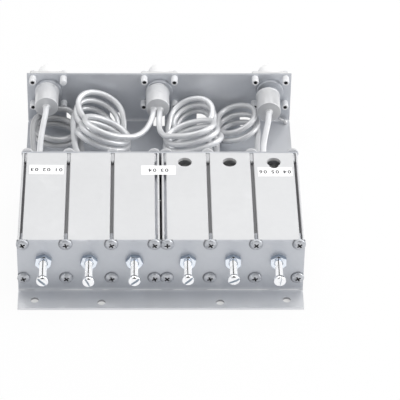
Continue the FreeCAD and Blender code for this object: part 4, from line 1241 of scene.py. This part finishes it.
class Sky(Finish):
    """The world, built with the same sums as a material."""

    def __init__(self, name):
        self.material = bpy.data.worlds.new(name)
        self.material.use_nodes = True
        bpy.context.scene.world = self.material
        self.tree = self.material.node_tree
        self.surface = self.tree.nodes["Background"]

    def toward(self, axis):
        """How far a direction points along one axis."""
        way = self.node("ShaderNodeTexCoord", output="Generated")
        return self.node("ShaderNodeSeparateXYZ", None, {0: way}, output=axis)


def make_sky():
    """White to the camera, and softer as a source of light.

    Metal sees a white studio with a darker far side, the boom that the camera hangs from and the camera.
    """
    f = Sky("studio")
    aside = abs(f.toward(0))
    along = f.toward(1)
    up = f.toward(2)
    far_side = along.between(0.35, 0.75) * 0.80
    boom = (1 - aside.between(0.16, 0.22)) * (1 - along.between(-0.25, -0.10)) * up.between(0.25, 0.35)
    camera_height = up.between(0.20, 0.30) * (1 - up.between(0.58, 0.68))
    camera = (1 - aside.between(0.36, 0.46)) * (1 - along.between(-0.55, -0.45)) * camera_height
    for_metal = (1 - far_side) * (1 - boom.sum("MAXIMUM", camera))
    mirrored = f.ray("Glossy")
    plain = (f.ray("Camera") + f.ray("Transmission")).sum("MINIMUM", 1.0)
    soft = for_metal * mirrored + (1 - mirrored) * SKY_LIGHT
    f.set(Color=(1.0, 1.0, 1.0), Strength=soft * (1 - plain) + plain)


def lamp(name, place, size, power):
    """A softbox that points at the origin, its place and size in metres."""
    data = bpy.data.lights.new(name, "AREA")
    data.shape = "RECTANGLE"
    data.size, data.size_y = size
    data.energy = power
    light = bpy.data.objects.new(name, data)
    bpy.context.scene.collection.objects.link(light)
    light.location = place
    light.rotation_euler = (-Vector(place)).to_track_quat("-Z", "Y").to_euler()


def make_light():
    make_sky()
    lamp("overhead_left", (-0.45, 0.6, 1.45), (0.6, 0.8), 3.8)
    lamp("overhead_right", (0.50, 0.6, 1.45), (0.6, 0.8), 4.2)
    lamp("right_strip", (1.3, -0.1, 0.75), (0.35, 1.0), 9.0)


FINISH = {
    # The sheet paints carry painted highlights along the bends, painted light and painted shade
    "plate_paint": sheet_paint("plate_paint", 0.38, rubbed=front_bend, settled=foot_dust,
                               soiled=front_grime),
    "tray_paint": sheet_paint("tray_paint", 0.36, rubbed=rear_bend, settled=tray_dust, soiled=tray_grime),
    "block_paint": block_paint(),
    "lead_paint": brushed_paint("lead_paint"),
    # Lit and shaded copies of the lead paint, as painted light and painted shade
    "pale_lead": brushed_paint("pale_lead", 1.22),
    "grey_lead": brushed_paint("grey_lead", 0.86),
    "dark_lead": brushed_paint("dark_lead", 0.68),
    "hood_paint": hood_paint("hood_paint", 0.96),
    # Darker copies as painted shade: the hoods' closed faces, and the whole right hood
    "hood_face": hood_paint("hood_face", 0.85),
    "right_hood_paint": hood_paint("right_hood_paint", 0.86),
    "right_hood_face": hood_paint("right_hood_face", 0.66),
    "bright_zinc": bright_zinc(),
    "nut_zinc": bright_zinc("nut_zinc", (0.84, 0.89, 0.96), 0.12),
    "dull_zinc": dull_zinc(),
    # Painted shade in recesses and hollows
    "recess_dirt": recess_dirt(),
    "slot_shade": slot_shade(),
    # Painted dark reflection on the nuts' flats
    "nut_flats": nut_flats(),
    # Nickel painted nearly white, as painted light; the flanges take a darker copy, tone 0.72
    "jack_nickel": jack_nickel(),
    "flange_nickel": jack_nickel("flange_nickel", 0.72),
    "rivet_paint": rivet_paint(),
    "turned_plastic": turned_plastic(),
    "contact_brass": contact_brass(),
    "silvered_copper": silvered_copper(),
    "label_paper": label_paper(),
    "label_ink": label_ink(),
}

bpy.context.scene.view_settings.view_transform = "Standard"
make_camera()
make_leads()
make_lead_collars()
make_plate_screws()
make_tuning()
make_jacks()
make_label_numbers()
make_stem()
dress_solids()
make_floor()
make_light()
